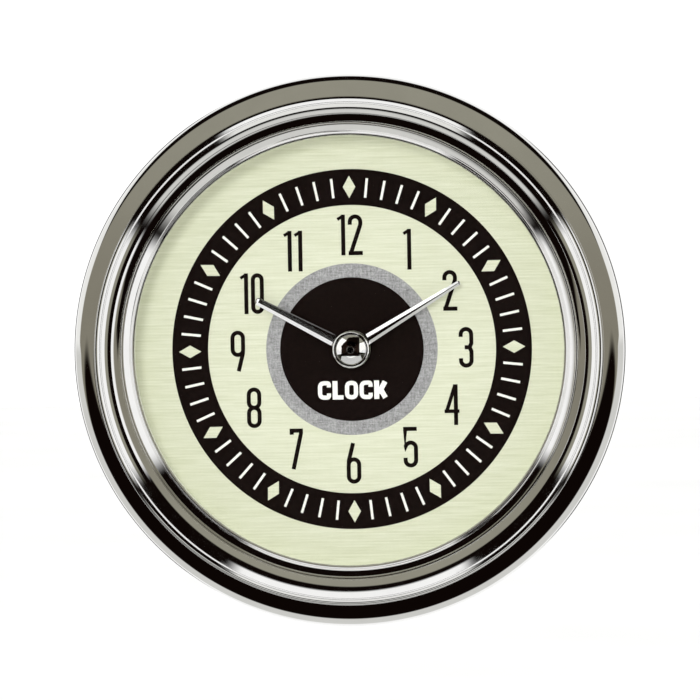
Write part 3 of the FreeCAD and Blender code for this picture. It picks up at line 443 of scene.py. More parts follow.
def cap_chrome():
    """Chrome with a painted reflection: its middle is painted black where the dome would mirror
    the dark lens, all but the rim of the dimple.
    """
    n = Nodes("cap_chrome", Metallic=1.0)
    axes = n.add("ShaderNodeSeparateXYZ")
    n.link(n.place, axes.inputs[0])
    x, z = axes.outputs["X"], axes.outputs["Z"]
    reach = CAP_R * MM

    def past(along_x, along_z):
        """How far out along a direction, as a share of the cap's radius."""
        part = n.math("MULTIPLY", x, along_x / reach)
        return n.math("MULTIPLY_ADD", z, along_z / reach, part)

    # painted reflection: a window-shaped pane of black paint, with a ragged edge, stands in for
    # the mirrored lens
    edges = [past(1.65, 0), past(-1.65, 0), past(0, 1.2), past(0, -2.4), past(-1.2, 1.1)]
    pane = edges[0]
    for edge in edges[1:]:
        pane = n.math("MAXIMUM", pane, edge)
    pane = n.math("MULTIPLY_ADD", n.noise(2400, None, 2.0), 0.16, n.math("SUBTRACT", pane, 0.08))
    squares = n.math("MULTIPLY_ADD", z, z, n.math("MULTIPLY", x, x))
    ring = n.math("SUBTRACT", n.math("SQRT", squares), DIMPLE_RING_R * MM)
    ring = n.math("DIVIDE", n.math("ABSOLUTE", ring), 0.1 * MM)
    outside = n.ramp(pane, (0.96, 0.0), (1.0, 1.0))
    # the painted black is thinned round the dimple's rim, where part of the chrome colour shows
    bright = n.math("MAXIMUM", outside, n.ramp(ring, (0.4, 0.3), (0.9, 0.0)))
    n.colour(n.mix(bright, (0.012, 0.007, 0.005), (0.92, 0.92, 0.91)))
    n.rough(n.ramp(n.noise(900, None, 2.0), (0.35, 0.015), (0.65, 0.045)))
    return n.material


def glass():
    """Flat instrument glass: nearly all of it lets light straight through."""
    n = Nodes("clear_glass", Metallic=1.0, Alpha=0.035)
    smear = n.noise(90, (1.0, 1.0, 0.4), 4.0)
    n.colour(n.ramp(smear, (0.3, (0.86, 0.9, 0.9)), (0.7, (0.95, 0.97, 0.97))))
    n.rough(n.ramp(smear, (0.4, 0.01), (0.8, 0.06)))
    return n.material


CHROME = chrome("bright_chrome")
HAND_CHROME = chrome("hand_chrome", 0.9, 0.97, (1.0, 1.0, 0.99), 0.0001)
CAP_CHROME_PAINTED_REFLECTION = cap_chrome()
CREAM = cream("dial_cream")
INK_BLACK = ink("dial_black", BLACK, BLACK_WORN)
INK_WHITE = ink("tick_white", (0.82, 0.82, 0.76), (0.92, 0.92, 0.86))
DIAMOND = cream("diamond_cream", flat=True)
SILVER = brushed_grey()
GLASS = glass()

# ---------------------------------------------------------------- bezel


# corners inside the land, as (radius, depth, rounding): a slope, a riser and a step
RISER = (
    (25.35, -6.31, 0.2),
    (25.2, -6.22, 0.1),
    (24.97, -6.0, 0.05),
    (24.9, -4.95, 0.05),
    (24.7, -4.53, 0.12),
    (24.05, -4.315, 0.06),
    (23.97, -4.28, 0.05),
)


def bezel_outline():
    shoulder_r = BEZEL_R - SHOULDER_CENTRE_R
    inner_r = shoulder_r - SHEET
    centre = (SHOULDER_CENTRE_R, SHOULDER_DEPTH)
    outside = [(26.9, 0.0), (29.65, 0.0)]
    outside += arc((29.65, -0.5), 0.5, 75, 0, 5)
    outside += arc(centre, shoulder_r, 0, -71, 48)
    # crowned land that eases into an inner slope, a riser, a step and the hem of the window
    crown = (LAND_R, LAND_FRONT + LAND_CROWN_R)
    land = arc(crown, LAND_CROWN_R, LAND_TILT - 90, -90, 14)
    ease = math.radians(LAND_EASE)
    inner = (LAND_R, LAND_FRONT + LAND_INNER_R)
    land += arc(inner, LAND_INNER_R, -90, -90 - LAND_EASE, 12)[1:]
    further = LAND_SLOPE_R - LAND_INNER_R
    slope = (inner[0] + further * math.sin(ease), inner[1] + further * math.cos(ease))
    land += arc(slope, LAND_SLOPE_R, -90 - LAND_EASE, -90 - SLOPE_TILT, 10)[1:]
    face = land[:-1] + rounded([(*land[-1], 0), *RISER], closed=False, parts=6)
    hem = arc((WINDOW_R + 0.3, -4.35), 0.3, -75, -180, 10)
    hem += [(WINDOW_R, -4.3), (WINDOW_R + 0.1, -4.12), (WINDOW_R + 0.3, -4.05)]
    inside = [(24.65, -4.05), (24.75, -4.42), (25.4, -4.42), (25.65, -5.0), (26.3, -6.1)]
    inside += arc(centre, inner_r, -72, 0, 16)
    inside += [(BEZEL_R - SHEET, -SHEET), (26.9, -SHEET)]
    return outside + face + hem + inside


bezel = lathe("bezel_ring", bezel_outline(), CHROME, "root", count=360, smooth_angle=50)
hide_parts("bezel")

# ---------------------------------------------------------------- dial


def ring_outline(inner, outer, front, rear, edge=0.0):
    corners = [(inner, front, edge), (outer, front, edge), (outer, rear), (inner, rear)]
    return rounded(corners, parts=3)


dial = lathe(
    "dial_face",
    ring_outline(DIAL_HOLE_R, DIAL_R, DIAL_FRONT, DIAL_REAR, 0.08),
    CREAM,
    "root",
    count=256,
)
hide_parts("dial_plate")


def print_ring(name, inner, outer, front, material):
    made = lathe(name, ring_outline(inner, outer, front, DIAL_FRONT), material, "root", count=256)
    return made


def print_piece(name, parts, material):
    verts, faces = merged(parts)
    made = new_object(name, verts, faces, material, "root")
    return made


CHAPTER_FRONT = DIAL_FRONT - INK
print_ring("chapter_ring", CHAPTER_IN, CHAPTER_OUT, CHAPTER_FRONT, INK_BLACK)
print_ring("silver_ring", DISC_OUT - 0.05, GREY_OUT, CHAPTER_FRONT, SILVER)
print_ring("centre_disc", DIAL_HOLE_R + 0.05, DISC_OUT, CHAPTER_FRONT - INK, INK_BLACK)


def mark(outline, degrees, front, rear):
    return plates([[turn_about(x, z, degrees) for x, z in outline]], front, rear)


def ticks():
    half = TICK_WIDTH / 2
    outline = [(-half, TICK_IN), (-half, TICK_OUT), (half, TICK_OUT), (half, TICK_IN)]
    return [
        mark(outline, 6 * i, CHAPTER_FRONT - INK, CHAPTER_FRONT) for i in range(60) if i % 5
    ]


def diamonds():
    middle = (DIAMOND_IN + DIAMOND_OUT) / 2
    half = DIAMOND_WIDTH / 2
    outline = [(-half, middle), (0, DIAMOND_OUT), (half, middle), (0, DIAMOND_IN)]
    return [mark(outline, 30 * i, CHAPTER_FRONT - INK, CHAPTER_FRONT) for i in range(12)]


print_piece("minute_ticks", ticks(), INK_WHITE)
print_piece("hour_diamonds", diamonds(), DIAMOND)

# ---------------------------------------------------------------- numerals
# centre lines of each digit's strokes, from its lower left corner

TALL = NUMERAL_HEIGHT - STROKE
END = STROKE / 2


def bowl(width, low, high):
    """Closed loop with round top and bottom."""
    r = width / 2
    return arc((r, high - r), r, 180, 0, 10) + arc((r, low + r), r, 0, -180, 10)


def digit(figure):
    """(width, strokes), where a stroke is (points, closed, width)."""
    w = 1.16
    r = w / 2
    top_arc = arc((r, TALL - r), r, 180, 0, 10)
    low_arc = arc((r, r), r, 0, -180, 10)
    if figure == "0":
        w = 0.98
        return w, [(bowl(w, 0, TALL), True, STROKE)]
    if figure == "1":
        stem = [(0.42, -END), (0.42, TALL + END)]
        flag = [(-0.2, TALL - 0.3), (0.4, TALL + 0.06)]
        return 0.42, [(stem, False, STROKE), (flag, False, 0.34)]
    if figure == "2":
        hook = [(0, TALL - r - 0.32)] + top_arc + [(w, TALL - r - 0.3), (0.08, 0.0)]
        return w, [(hook, False, STROKE), ([(-END + 0.05, 0), (w + END, 0)], False, STROKE)]
    if figure == "3":
        half = TALL / 2
        notch = [(w, half + 0.42), (w - 0.17, half + 0.08), (w - 0.17, half - 0.08)]
        line = [(0, TALL - r - 0.28)] + top_arc + notch + [(w, half - 0.42)]
        line += low_arc + [(0, r + 0.24)]
        return w, [(line, False, STROKE), ([(0.42, half), (w - 0.1, half)], False, STROKE)]
    if figure == "4":
        bar = 1.3
        stem = [(1.03, -END), (1.03, TALL + END)]
        slope = [(0.02, bar), (0.98, TALL + END - 0.04)]
        cross = [(-END, bar), (w + 0.26, bar)]
        return w, [(stem, False, STROKE), (slope, False, STROKE * 0.9), (cross, False, 0.4)]
    if figure == "5":
        centre = TALL - 2.09
        line = [(0, TALL + 0.0), (0, centre)] + arc((r, centre), r, 180, 0, 10)[1:]
        line += low_arc + [(0, r + 0.28)]
        return w, [(line, False, STROKE), ([(-END, TALL), (w + 0.12, TALL)], False, STROKE)]
    if figure == "6":
        stem = [(0.0, 1.7), (0.03, 2.3), (0.53, TALL + END)]
        return w, [(bowl(w, 0, 2.45), True, STROKE), (stem, False, STROKE)]
    if figure == "7":
        w = 1.02
        stem = [(w, TALL), (w, TALL - 0.3), (0.14, -END)]
        bar = [(-END, TALL), (w + END, TALL)]
        serif = [(0, TALL), (0, TALL - 0.44)]
        return w, [(stem, False, STROKE), (bar, False, STROKE), (serif, False, STROKE)]
    if figure == "8":
        half = TALL / 2
        return w, [(bowl(w, 0, half), True, STROKE), (bowl(w, half, TALL), True, STROKE)]
    stem = [(w, TALL - 1.7), (w - 0.03, TALL - 2.3), (w - 0.53, -END)]
    return w, [(bowl(w, TALL - 2.45, TALL), True, STROKE), (stem, False, STROKE)]


def set_line(glyphs, gap, centre, height, front):
    """Ribbons of a row of glyphs, each (width, strokes), standing in front of a depth."""
    total = sum(width for width, strokes in glyphs) + gap * (len(glyphs) - 1)
    left = centre[0] - total / 2
    low = centre[1] - height / 2
    parts = []
    for width, strokes in glyphs:
        for layer, (points, closed, stroke) in enumerate(strokes):
            shifted = [(left + x, low + z) for x, z in points]
            depth = front - INK - 0.003 * layer
            parts.append(ribbon(shifted, stroke, closed, depth, front - depth))
        left += width + gap
    return parts


def numerals():
    parts = []
    for hour in range(1, 13):
        glyphs = [digit(figure) for figure in str(hour)]
        centre = turn_about(0, NUMERAL_R, 30 * hour)
        parts += set_line(glyphs, STROKE + 0.3, centre, TALL, DIAL_FRONT)
    return parts


print_piece("numerals", numerals(), INK_BLACK)

# ---------------------------------------------------------------- legend on the centre disc

LEGEND_Z = -4.5
LEGEND_HEIGHT = 2.04
LEGEND_STROKE = 0.46


def letter(name):
    """(width, strokes) of a wide bold capital, from its lower left corner."""
    end = LEGEND_STROKE / 2
    top = LEGEND_HEIGHT - end
    bold = LEGEND_STROKE * 1.2
    stem = ([(bold / 2, 0), (bold / 2, LEGEND_HEIGHT)], False, bold)
    if name == "L":
        return 1.2, [stem, ([(0.1, end), (1.2, end)], False, LEGEND_STROKE)]
    if name == "K":
        up = ([(0.5, 0.62), (1.21, LEGEND_HEIGHT - 0.13)], False, bold)
        down = ([(0.66, 1.16), (1.23, 0.13)], False, bold)
        return 1.44, [stem, up, down]
    right = 1.44 - end
    box = [(end, top, 0.55), (end, end, 0.55), (right, end, 0.5), (right, top, 0.5)]
    if name == "O":
        return 1.44, [(rounded(box), True, LEGEND_STROKE)]
    mouth = [(right, top - 0.46)] + [box[3], box[0], box[1], box[2]] + [(right, end + 0.46)]
    return 1.44, [(rounded(mouth, closed=False), False, LEGEND_STROKE)]


legend = set_line(
    [letter(name) for name in "CLOCK"],
    0.17,
    (0, LEGEND_Z),
    LEGEND_HEIGHT,
    CHAPTER_FRONT - INK,
)
print_piece("legend", legend, INK_WHITE)

# ---------------------------------------------------------------- hands and cap


HAND_NECK = 0.03
HAND_SHARES = (0.1, 0.25, 0.4, 0.55, 0.7, 0.85, 1.0)


def hand_sections(length, hub_width, tip_width, ridges, tilts, thick):
    """Cross-sections along a hand that points to 12 o'clock, as (z, [(x, rise)]).
    The flat top lies between two ridges, given as shares of the half width at the hub, past
    it and at the tip, and each side falls away from its ridge at its own tilt."""
    sections = []
    tip = tip_width / 2
    straight = length - tip

    def section(z, half, share, drop=0.0):
        low, high = (
            start + (middle - start) * share / HAND_NECK if share < HAND_NECK
            else middle + (end - middle) * (share - HAND_NECK) / (1 - HAND_NECK)
            for start, middle, end in ridges
        )
        falls = [math.tan(math.radians(t)) * half for t in tilts]
        sections.append(
            (
                z,
                [
                    (-half, thick - drop - falls[0] * (1 + low)),
                    (half * low, thick - drop),
                    (half * high, thick - drop),
                    (half, thick - drop - falls[1] * (1 - high)),
                ],
            )
        )

    for share in (0, HAND_NECK / 3, HAND_NECK / 1.5, HAND_NECK, *HAND_SHARES):
        z = HAND_START + (straight - HAND_START) * share
        half = hub_width / 2 + (tip - hub_width / 2) * z / straight
        section(z, half, share)
    for step in range(1, 7):
        t = math.pi / 2 * step / 6
        half = tip * max(math.cos(t), 0.05)
        section(straight + tip * math.sin(t), half, 1.0, 0.35 * tip * (1 - math.cos(t)))
    return sections


def hand(name, node, body, angle, sections, rear, hub):
    """Blade lofted through its sections, with its back flat at rear, and a round hub."""
    verts, faces = [], []
    size = len(sections[0][1])
    for z, across in sections:
        for x, rise in across:
            px, pz = turn_about(x, z, angle)
            verts.append((px, rear - rise, pz))
        for x, rise in (across[-1], across[0]):
            px, pz = turn_about(x, z, angle)
            verts.append((px, rear, pz))
    row = size + 2
    for s in range(len(sections) - 1):
        for k in range(row):
            n = (k + 1) % row
            faces.append([s * row + k, s * row + n, (s + 1) * row + n, (s + 1) * row + k])
    faces.append(list(range(row)))
    faces.append([(len(sections) - 1) * row + k for k in reversed(range(row))])
    blade = new_object(name, verts, faces, HAND_CHROME, body, smooth_angle=7)
    collar = lathe(name + "_collet", hub, HAND_CHROME, body, count=96)
    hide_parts(node)


COLLET_EDGE = 0.17


def collet_outline(inner, front, rear):
    """A flat ring with a rounded outer edge; the close points keep the flat part flat."""
    flat_r = HUB_R - COLLET_EDGE
    face = [(inner, front), (flat_r - 0.04, front), (flat_r - 0.02, front)]
    edge = arc((flat_r, front + COLLET_EDGE), COLLET_EDGE, -90, 0, 8)
    return [(inner, rear)] + face + edge + [(HUB_R, rear)]


HAND_START = 1.9
HAND_THICK = 0.3
HOUR_RIDGES = ((-0.98, -0.35, -0.2), (0.98, 0.8, 0.72))
hand(
    "hour_hand_blade",
    "hour_hand",
    "hour_motion",
    HOUR_ANGLE,
    hand_sections(11.9, 1.42, 0.84, HOUR_RIDGES, (11, 13), HAND_THICK),
    1.25,
    collet_outline(1.56, 0.5, 1.5),
)
MINUTE_RIDGES = ((-0.95, -0.3, -0.1), (0.98, 0.42, 0.14))
hand(
    "minute_hand_blade",
    "minute_hand",
    "minute_motion",
    MINUTE_ANGLE,
    hand_sections(14.1, 1.26, 0.5, MINUTE_RIDGES, (11, 13), HAND_THICK),
    -0.05,
    collet_outline(1.12, -0.5, 0.2),
)

CAP_TILT = 41.0
CAP_BASE = -0.5
CAP_WALL = 0.3
CAP_SPHERE_R = CAP_R / math.sin(math.radians(CAP_TILT))
cap_outline = [(0.0, CAP_BASE), (0.0, CAP_BASE - 0.82)]
cap_outline += [(0.2, CAP_BASE - 0.82), (0.25, CAP_BASE - 0.9), (0.3, CAP_BASE - 0.945)]
cap_outline += [(0.36, CAP_BASE - 0.945), (0.4, CAP_BASE - 0.91)]
for step in range(1, 25):
    tilt = math.radians(14 + (CAP_TILT - 14) * step / 24)
    drop = CAP_SPHERE_R * (1 - math.cos(tilt))
    cap_outline.append((CAP_SPHERE_R * math.sin(tilt), CAP_BASE - CAP_WALL - 0.63 + drop))
cap_outline.append((CAP_R, CAP_BASE))
cap = lathe("hand_cap_dome", cap_outline, CAP_CHROME_PAINTED_REFLECTION, "minute_motion", count=128)
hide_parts("hand_cap")

# ---------------------------------------------------------------- materials of the CAD nodes


def grey(level):
    return (level, level, level)


SLOTS = {
    "clear_glass": GLASS,
    "bulb_glass": plastic("bulb_glass", (0.8, 0.8, 0.78), (0.9, 0.9, 0.88), 0.03, 0.08),
    "seal_rubber": plastic("seal_rubber", grey(0.018), grey(0.03), 0.6, 0.75),
    "case_paint": plastic("case_paint", (0.016, 0.016, 0.017), (0.026, 0.026, 0.027), 0.3, 0.42),
    "dial_paint": CREAM,
    "light_guide": plastic("light_guide", (0.78, 0.79, 0.72), (0.86, 0.87, 0.8), 0.5, 0.6),
    "white_plastic": plastic("white_plastic", (0.72, 0.72, 0.68), (0.8, 0.8, 0.76), 0.4, 0.5),
    "plate_plastic": plastic("plate_plastic", (0.2, 0.21, 0.22), (0.27, 0.28, 0.29), 0.45, 0.6),
    "wheel_plastic": plastic("wheel_plastic", (0.7, 0.69, 0.6), (0.8, 0.79, 0.72), 0.35, 0.5),
    "black_plastic": plastic("black_plastic", grey(0.02), grey(0.032), 0.4, 0.55),
    "knob_plastic": plastic("knob_plastic", grey(0.016), grey(0.028), 0.22, 0.36),
    "fibre": plastic("fibre", (0.24, 0.06, 0.03), (0.34, 0.1, 0.05), 0.6, 0.8),
    "board_green": plastic("board_green", (0.02, 0.13, 0.05), (0.04, 0.2, 0.08), 0.3, 0.4),
    "chip_black": plastic("chip_black", grey(0.02), grey(0.03), 0.5, 0.6),
    "capacitor_sleeve": plastic(
        "capacitor_sleeve", (0.02, 0.03, 0.09), (0.04, 0.05, 0.13), 0.2, 0.3
    ),
    "red_insulation": plastic("red_insulation", (0.4, 0.02, 0.015), (0.5, 0.04, 0.03), 0.3, 0.4),
    "black_insulation": plastic("black_insulation", grey(0.02), grey(0.03), 0.35, 0.5),
    "brass": metal("brass", (0.62, 0.45, 0.18), (0.76, 0.58, 0.28), 0.2, 0.35),
    "nickel_brass": metal("nickel_brass", (0.55, 0.53, 0.47), (0.7, 0.68, 0.62), 0.18, 0.32),
    "copper_wire": metal("copper_wire", (0.5, 0.2, 0.09), (0.68, 0.3, 0.15), 0.25, 0.4),
    "zinc_steel": metal("zinc_steel", (0.5, 0.51, 0.5), (0.66, 0.66, 0.63), 0.24, 0.4),
    "spring_steel": metal("spring_steel", (0.26, 0.26, 0.27), grey(0.38), 0.3, 0.45),
    "plain_steel": metal("plain_steel", grey(0.48), grey(0.6), 0.25, 0.4),
    "can_steel": metal("can_steel", grey(0.6), grey(0.74), 0.2, 0.3),
    "magnet": metal("magnet", (0.12, 0.12, 0.13), grey(0.2), 0.45, 0.6),
}
SLOT_OF = {row["node"]: row["material_slot"] for row in frame["record"]["subparts"]}
for name, material_slot in SLOT_OF.items():
    node = frame["nodes"][name]
    material = SLOTS.get(material_slot)
    if material:
        node.data.materials.clear()
        node.data.materials.append(material)

# ---------------------------------------------------------------- rear pieces with broken edges


def show_in_place(mesh, name, smooth_angle):
    """The mesh is shown in the place of the CAD node of that name, with its material and body."""
    mesh.shade_smooth()
    mesh.set_sharp_from_angle(angle=math.radians(smooth_angle))
    mesh.materials.append(frame["nodes"][name].data.materials[0])
    made = bpy.data.objects.new(mesh.name, mesh)
    bpy.context.collection.objects.link(made)
    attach(made, body_of(frame["nodes"][name])[0])
    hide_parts(name)


SHARP_EDGE = 35.0
FLAT_ENOUGH = 0.5


def refine(name, edge):
    """The CAD node's own shape with its edges rounded a little."""
    source = frame["nodes"][name].data
    mesh = bpy.data.meshes.new(name + "_rounded")
    corners = [tuple(v.co) for v in source.vertices]
    mesh.from_pydata(corners, [], [tuple(f.vertices) for f in source.polygons])
    work = bmesh.new()
    work.from_mesh(mesh)
    bmesh.ops.remove_doubles(work, verts=work.verts, dist=1e-7)
    flat = math.radians(FLAT_ENOUGH)
    bmesh.ops.dissolve_limit(work, angle_limit=flat, verts=work.verts, edges=work.edges)
    sharp = math.radians(SHARP_EDGE)
    hard = [e for e in work.edges if e.is_manifold and e.calc_face_angle(0) > sharp]
    bmesh.ops.bevel(
        work,
        geom=hard,
        offset=edge * MM,
        segments=2,
        profile=0.5,
        affect="EDGES",
        clamp_overlap=True,
    )
    work.to_mesh(mesh)
    work.free()
    show_in_place(mesh, name, SHARP_EDGE)


for name, edge in (
    ("case_shell", 0.3),
    ("case_screws", 0.1),
    ("clamp_bracket", 0.12),
    ("lock_washers", 0.05),
    ("thumb_nuts", 0.07),
    ("stud_lock_nuts", 0.1),
    ("power_terminal", 0.07),
    ("ground_terminal", 0.07),
    ("terminal_insulators", 0.1),
    ("terminal_rivets", 0.07),
    ("set_knob", 0.07),
    ("set_shaft", 0.07),
    ("set_shaft_bush", 0.07),
    ("lamp_socket", 0.12),
    ("lamp_blade", 0.05),
):
    refine(name, edge)

STUD_X = 12.7
STUD_R = 2.0
STUD_HEAD_R = 4.0
STUD_HEAD = 1.2
STUD_POINT = 0.5
HEAD_EDGE = 0.1
THREAD_PITCH = 0.7
THREAD_DEEP = 0.42
THREAD_STEPS = 8
THREAD_SIDES = 36
THREAD_EDGE = 40.0


def threaded_stud(front, rear, x):
    """Verts and faces of an M4 stud along Y: a flat head, a helical thread and a point."""
    start = front + STUD_HEAD
    rows = [(front, STUD_HEAD_R - HEAD_EDGE), (front + HEAD_EDGE, STUD_HEAD_R)]
    rows += [(start - HEAD_EDGE, STUD_HEAD_R), (start, STUD_HEAD_R - HEAD_EDGE)]
    count = int((rear - start) / THREAD_PITCH * THREAD_STEPS)
    rows += [(start + (rear - start) * i / count, None) for i in range(count + 1)]
    verts, faces = [(x, front, 0)], []
    for y, radius in rows:
        for k in range(THREAD_SIDES):
            turn = k / THREAD_SIDES
            reach = radius
            if reach is None:
                wave = abs(((y - start) / THREAD_PITCH + turn) % 1.0 - 0.5) * 2
                reach = STUD_R - THREAD_DEEP * min(1.0, max(0.0, 1.25 * wave - 0.12))
                reach = min(reach, STUD_R - STUD_POINT + (rear - y))
            angle = 2 * math.pi * turn
            verts.append((x + reach * math.cos(angle), y, reach * math.sin(angle)))
    verts.append((x, rear, 0))
    last = 1 + (len(rows) - 1) * THREAD_SIDES
    for k in range(THREAD_SIDES):
        n = (k + 1) % THREAD_SIDES
        faces.append((0, 1 + k, 1 + n))
        faces.append((last + k, len(verts) - 1, last + n))
        for row in range(len(rows) - 1):
            a = 1 + row * THREAD_SIDES
            b = a + THREAD_SIDES
            faces.append((a + k, b + k, b + n, a + n))
    return verts, faces


stud_low, stud_high = (corner[1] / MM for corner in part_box("mounting_studs"))
studs = merged([threaded_stud(stud_low, stud_high, side * STUD_X) for side in (-1, 1)])
stud_mesh = bpy.data.meshes.new("threaded_studs")
stud_mesh.from_pydata([tuple(c * MM for c in v) for v in studs[0]], [], studs[1])
show_in_place(stud_mesh, "mounting_studs", THREAD_EDGE)

# ---------------------------------------------------------------- studio light


class Field:
    """A value worked out by Math nodes in the world shader."""

    tree = None

    def __init__(self, socket):
        self.socket = socket

    @classmethod
    def node(cls, operation, *values):
        made = cls.tree.nodes.new("ShaderNodeMath")
        made.operation = operation
        for value, target in zip(values, made.inputs):
            if isinstance(value, Field):
                cls.tree.links.new(value.socket, target)
            else:
                target.default_value = value
        return Field(made.outputs[0])

    def __add__(self, other):
        return self.node("ADD", self, other)

    def __sub__(self, other):
        return self.node("SUBTRACT", self, other)

    def __mul__(self, other):
        return self.node("MULTIPLY", self, other)

    def __truediv__(self, other):
        return self.node("DIVIDE", self, other)

    def step(self, low, high):
        """0 below low and 1 above high, or the other way round if low is the larger."""
        made = self.tree.nodes.new("ShaderNodeMapRange")
        made.interpolation_type = "SMOOTHSTEP"
        self.tree.links.new(self.socket, made.inputs["Value"])
        reverse = low > high
        for name, value in (
            ("From Min", min(low, high)),
            ("From Max", max(low, high)),
            ("To Min", 1.0 if reverse else 0.0),
            ("To Max", 0.0 if reverse else 1.0),
        ):
            made.inputs[name].default_value = value
        return Field(made.outputs["Result"])


def shade(factor, low, high):
    """A colour between two, which are colours or sockets."""
    made = Field.tree.nodes.new("ShaderNodeMix")
    made.data_type = "RGBA"
    Field.tree.links.new(factor.socket, made.inputs["Factor"])
    for value, target in ((low, made.inputs[6]), (high, made.inputs[7])):
        if isinstance(value, tuple):
            target.default_value = (*value, 1)
        else:
            Field.tree.links.new(value, target)
    return made.outputs[2]


WHITE = (1.0, 1.0, 1.0)
CLOTH = (0.9, 0.9, 0.88)
PALE_WHITE = (0.85, 0.85, 0.83)
PALE = (0.66, 0.66, 0.64)
GREY = (0.3, 0.29, 0.235)
SOFT = (0.235, 0.22, 0.175)
DARK = (0.004, 0.002, 0.0015)
ROOM = (1.18, 1.18, 1.17)

# how far left of and below straight ahead a flat front mirrors the lens, as sines
MIRRORED_LENS = (0.054, 0.0227)

# soft edges of what is mirrored, in degrees off the axis: none at the first, all at the last
LENS = (3.6, 4.4)
PANEL = (27, 24)
NEAR_CARPET = (20, 18)
CARPET = ((23, 25), (30.5, 28.5))
FAR_CARPET = (33.5, 34.5)
STRIP = (18, 20)
GREY_STRIP = (25, 26)
FAR_STRIP = (33.5, 34.5)
PAST_FRONT = (39, 42)
PAST_WALLS = (98, 103)
WALLS_HIGHER = 8.0
WALLS_MIDDLE = 73.0
WALLS_SPREAD = 36.0
FLAG_START = 110.0
FLAG_SPREAD = 60.0
CLOTH_REACH = (134, 142)
PAST_CLOTH = (166, 174)
RIM_LINE = ((149, 152), (167, 161))

# soft edges round the axis, as sines of the angle from straight up or down
PANEL_SIDE = (0.52, 0.44)
CARPET_SIDE = (0.85, 0.75)
STRIP_SIDE = (0.84, 0.9)
RIM_LINE_SIDE = (0.55, 0.7)


def round_the_axis(across, up):
    """Sine of the angle off an axis, and how far aside and up a direction lies round it."""
    level = Field.node("SQRT", across * across + up * up)
    divisor = Field.node("MAXIMUM", level, 1e-4)
    return level, Field.node("ABSOLUTE", across) / divisor, up / divisor


def mirrored_behind(x, y, z):
    """What slopes of more than 20 degrees mirror: walls of the tent, and what is past them."""
    facing = Field.node("MINIMUM", y * -1.0, 1.0)
    away = Field.node("ARCCOSINE", Field.node("MAXIMUM", facing, -1.0)) * (180 / math.pi)
    aside, high = round_the_axis(x, z)[1:]
    upper = high.step(-0.03, 0.03)
    # grey walls above, black ones below, with an edge that drops in the middle
    drop = (away - WALLS_MIDDLE) * (1 / WALLS_SPREAD)
    edge = high + Field.node("POWER", Field.node("ABSOLUTE", drop), 2.0) * 0.5
    wall = shade(edge.step(-0.06, 0.06), DARK, shade(high.step(0.1, 0.9), SOFT, GREY))
    # a flag above that narrows to the sides, a pale floor below, and white cloth past both
    flag = (high - (away - FLAG_START) * (1 / FLAG_SPREAD)).step(0.33, 0.4)
    rear = shade(flag, shade(upper, PALE, CLOTH), DARK)
    beyond = shade(away.step(*CLOTH_REACH), rear, shade(away.step(*PAST_CLOTH), WHITE, PALE))
    rim = away.step(*RIM_LINE[0]) * away.step(*RIM_LINE[1]) * aside.step(*RIM_LINE_SIDE)
    beyond = shade(rim, beyond, DARK)
    return away, shade((away - upper * WALLS_HIGHER).step(*PAST_WALLS), wall, beyond)


def mirrored_in_front(x, z):
    """What flatter slopes mirror, round the direction in which a flat front mirrors the lens:
    a white panel above, a carpet below that widens away from the lens, white strips at the
    sides with dark gaps round them all, and the dark lens in the middle."""
    up = z + MIRRORED_LENS[1]
    level, aside = round_the_axis(x + MIRRORED_LENS[0], up)[:2]
    off = Field.node("ARCSINE", Field.node("MINIMUM", level, 1.0)) * (180 / math.pi)
    narrow = aside.step(*PANEL_SIDE)
    above = shade(narrow * off.step(*PANEL), DARK, WHITE)
    band = off.step(*CARPET[0]) * off.step(*CARPET[1]) + off.step(*FAR_CARPET)
    carpet = shade(aside.step(*CARPET_SIDE) * band, DARK, PALE)
    below = shade(off.step(*NEAR_CARPET), carpet, shade(narrow, DARK, PALE_WHITE))
    front = shade(up.step(-0.01, 0.01), below, above)
    strips = shade(off.step(*STRIP), WHITE, shade(off.step(*GREY_STRIP), GREY, DARK))
    strips = shade(off.step(*FAR_STRIP), strips, WHITE)
    front = shade(aside.step(*STRIP_SIDE), front, strips)
    return shade(off.step(*LENS), DARK, front)


def studio():
    """A white room for the camera and for matt surfaces. What polished metal mirrors is
    laid out by direction, in degrees off the Y axis or off the mirrored lens."""
    world = bpy.data.worlds.new("studio")
    bpy.context.scene.world = world
    world.use_nodes = True
    tree = world.node_tree
    Field.tree = tree
    rays = tree.nodes.new("ShaderNodeLightPath")
    coords = tree.nodes.new("ShaderNodeTexCoord")
    axes = tree.nodes.new("ShaderNodeSeparateXYZ")
    tree.links.new(coords.outputs["Generated"], axes.inputs[0])
    x, y, z = (Field(axes.outputs[name]) for name in "XYZ")
    away, behind = mirrored_behind(x, y, z)
    mirrored = shade(away.step(*PAST_FRONT), mirrored_in_front(x, z), behind)
    colour = shade(Field(rays.outputs["Is Glossy Ray"]), ROOM, mirrored)
    tree.links.new(colour, tree.nodes["Background"].inputs["Color"])


studio()


def area_light(name, place, aim, size, power, shape="DISK"):
    data = bpy.data.lights.new(name, "AREA")
    data.shape = shape
    data.size = size
    data.energy = power
    lamp = bpy.data.objects.new(name, data)
    lamp.location = place
    lamp.rotation_euler = (Vector(aim) - Vector(place)).to_track_quat("-Z", "Y").to_euler()
    bpy.context.collection.objects.link(lamp)
    lamp.visible_glossy = False
    return lamp


def panel(name, direction, away, distance, width, height, level, receivers):
    """A soft panel that only the receivers mirror. direction is counted from 3 o'clock."""
    turn, off = math.radians(direction), math.radians(away)
    place = (
        distance * math.sin(off) * math.cos(turn),
        -distance * math.cos(off),
        distance * math.sin(off) * math.sin(turn),
    )
    lamp = area_light(name, place, (0, 0, 0), width, math.pi * width * height * level, "RECTANGLE")
    lamp.data.size_y = height
    lamp.visible_glossy = True
    lamp.light_linking.receiver_collection = receivers


area_light("key", (-0.05, -0.6, 0.1), (0, 0, 0), 0.12, 1.4)


def group(name, *pieces):
    made = bpy.data.collections.new(name)
    for piece in pieces:
        made.objects.link(bpy.data.objects[piece])
    return made


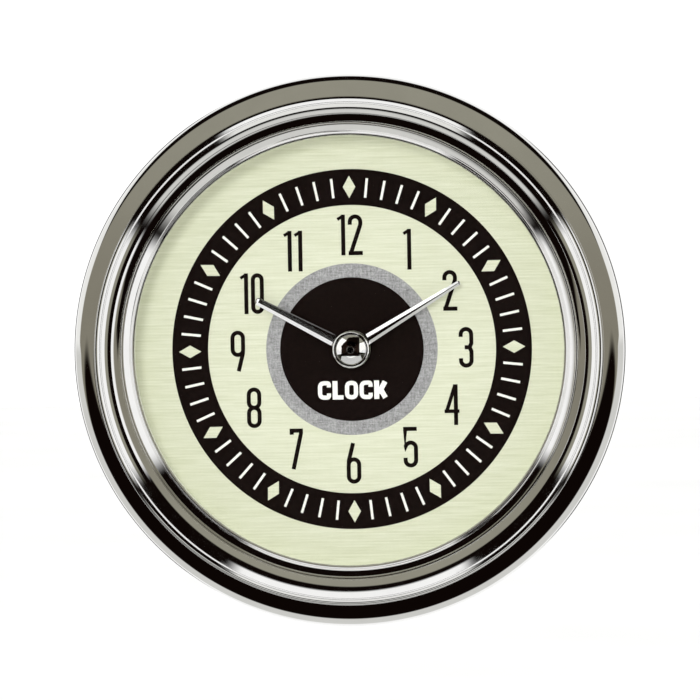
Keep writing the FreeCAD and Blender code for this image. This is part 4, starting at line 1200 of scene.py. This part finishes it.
hub_pieces = group(
    "hub_pieces", "hand_cap_dome", "hour_hand_blade_collet", "minute_hand_blade_collet"
)
blades = group("blades", "hour_hand_blade", "minute_hand_blade")
panel("hands_left", 180, 21, 0.3, 0.1, 0.3, 1.0, blades)
panel("hub_left", 163, 66, 0.3, 0.5, 0.42, 1.0, hub_pieces)
panel("hub_right", 8, 66, 0.3, 0.5, 0.24, 1.0, hub_pieces)
panel("hub_below", 270, 56, 0.3, 0.6, 0.3, 0.66, hub_pieces)
panel("crown_line", 203, 3.36, 3.0, 0.28, 0.28, 0.9, group("bezel_only", "bezel_ring"))

# ---------------------------------------------------------------- floor and camera

FLOOR_Z = -100.0
floor_material = plastic("floor_paint", (0.9, 0.9, 0.9), (0.93, 0.93, 0.93), 0.7, 0.85, scale=12)
FLOOR_REACH = 3000.0
floor = new_object(
    "floor",
    [(x * FLOOR_REACH, y * FLOOR_REACH, FLOOR_Z) for x, y in ((-1, -1), (1, -1), (1, 1), (-1, 1))],
    [[0, 1, 2, 3]],
    floor_material,
    "root",
)
floor.visible_glossy = False

CAMERA_AZIMUTH = 3.1
CAMERA_ELEVATION = 1.3
CAMERA_ROLL = -1.0
CAMERA_DISTANCE = 0.65
FRAME_WIDTH = 0.0766
AIM_DEPTH = -0.002

camera_data = bpy.data.cameras.new("camera")
camera = bpy.data.objects.new("camera", camera_data)
bpy.context.collection.objects.link(camera)
azimuth, elevation = math.radians(CAMERA_AZIMUTH), math.radians(CAMERA_ELEVATION)
back = Vector(
    (
        math.sin(azimuth) * math.cos(elevation),
        -math.cos(azimuth) * math.cos(elevation),
        math.sin(elevation),
    )
)
camera.location = Vector((0, AIM_DEPTH, 0)) + back * CAMERA_DISTANCE
look = (-back).to_track_quat("-Z", "Y").to_matrix().to_4x4()
camera.rotation_euler = (look @ Matrix.Rotation(math.radians(CAMERA_ROLL), 4, "Z")).to_euler()
camera_data.sensor_width = 36.0
camera_data.lens = 36.0 * CAMERA_DISTANCE / FRAME_WIDTH
camera_data.clip_start = 0.01
camera_data.clip_end = 20.0
bpy.context.scene.camera = camera
bpy.context.scene.view_settings.view_transform = "Standard"
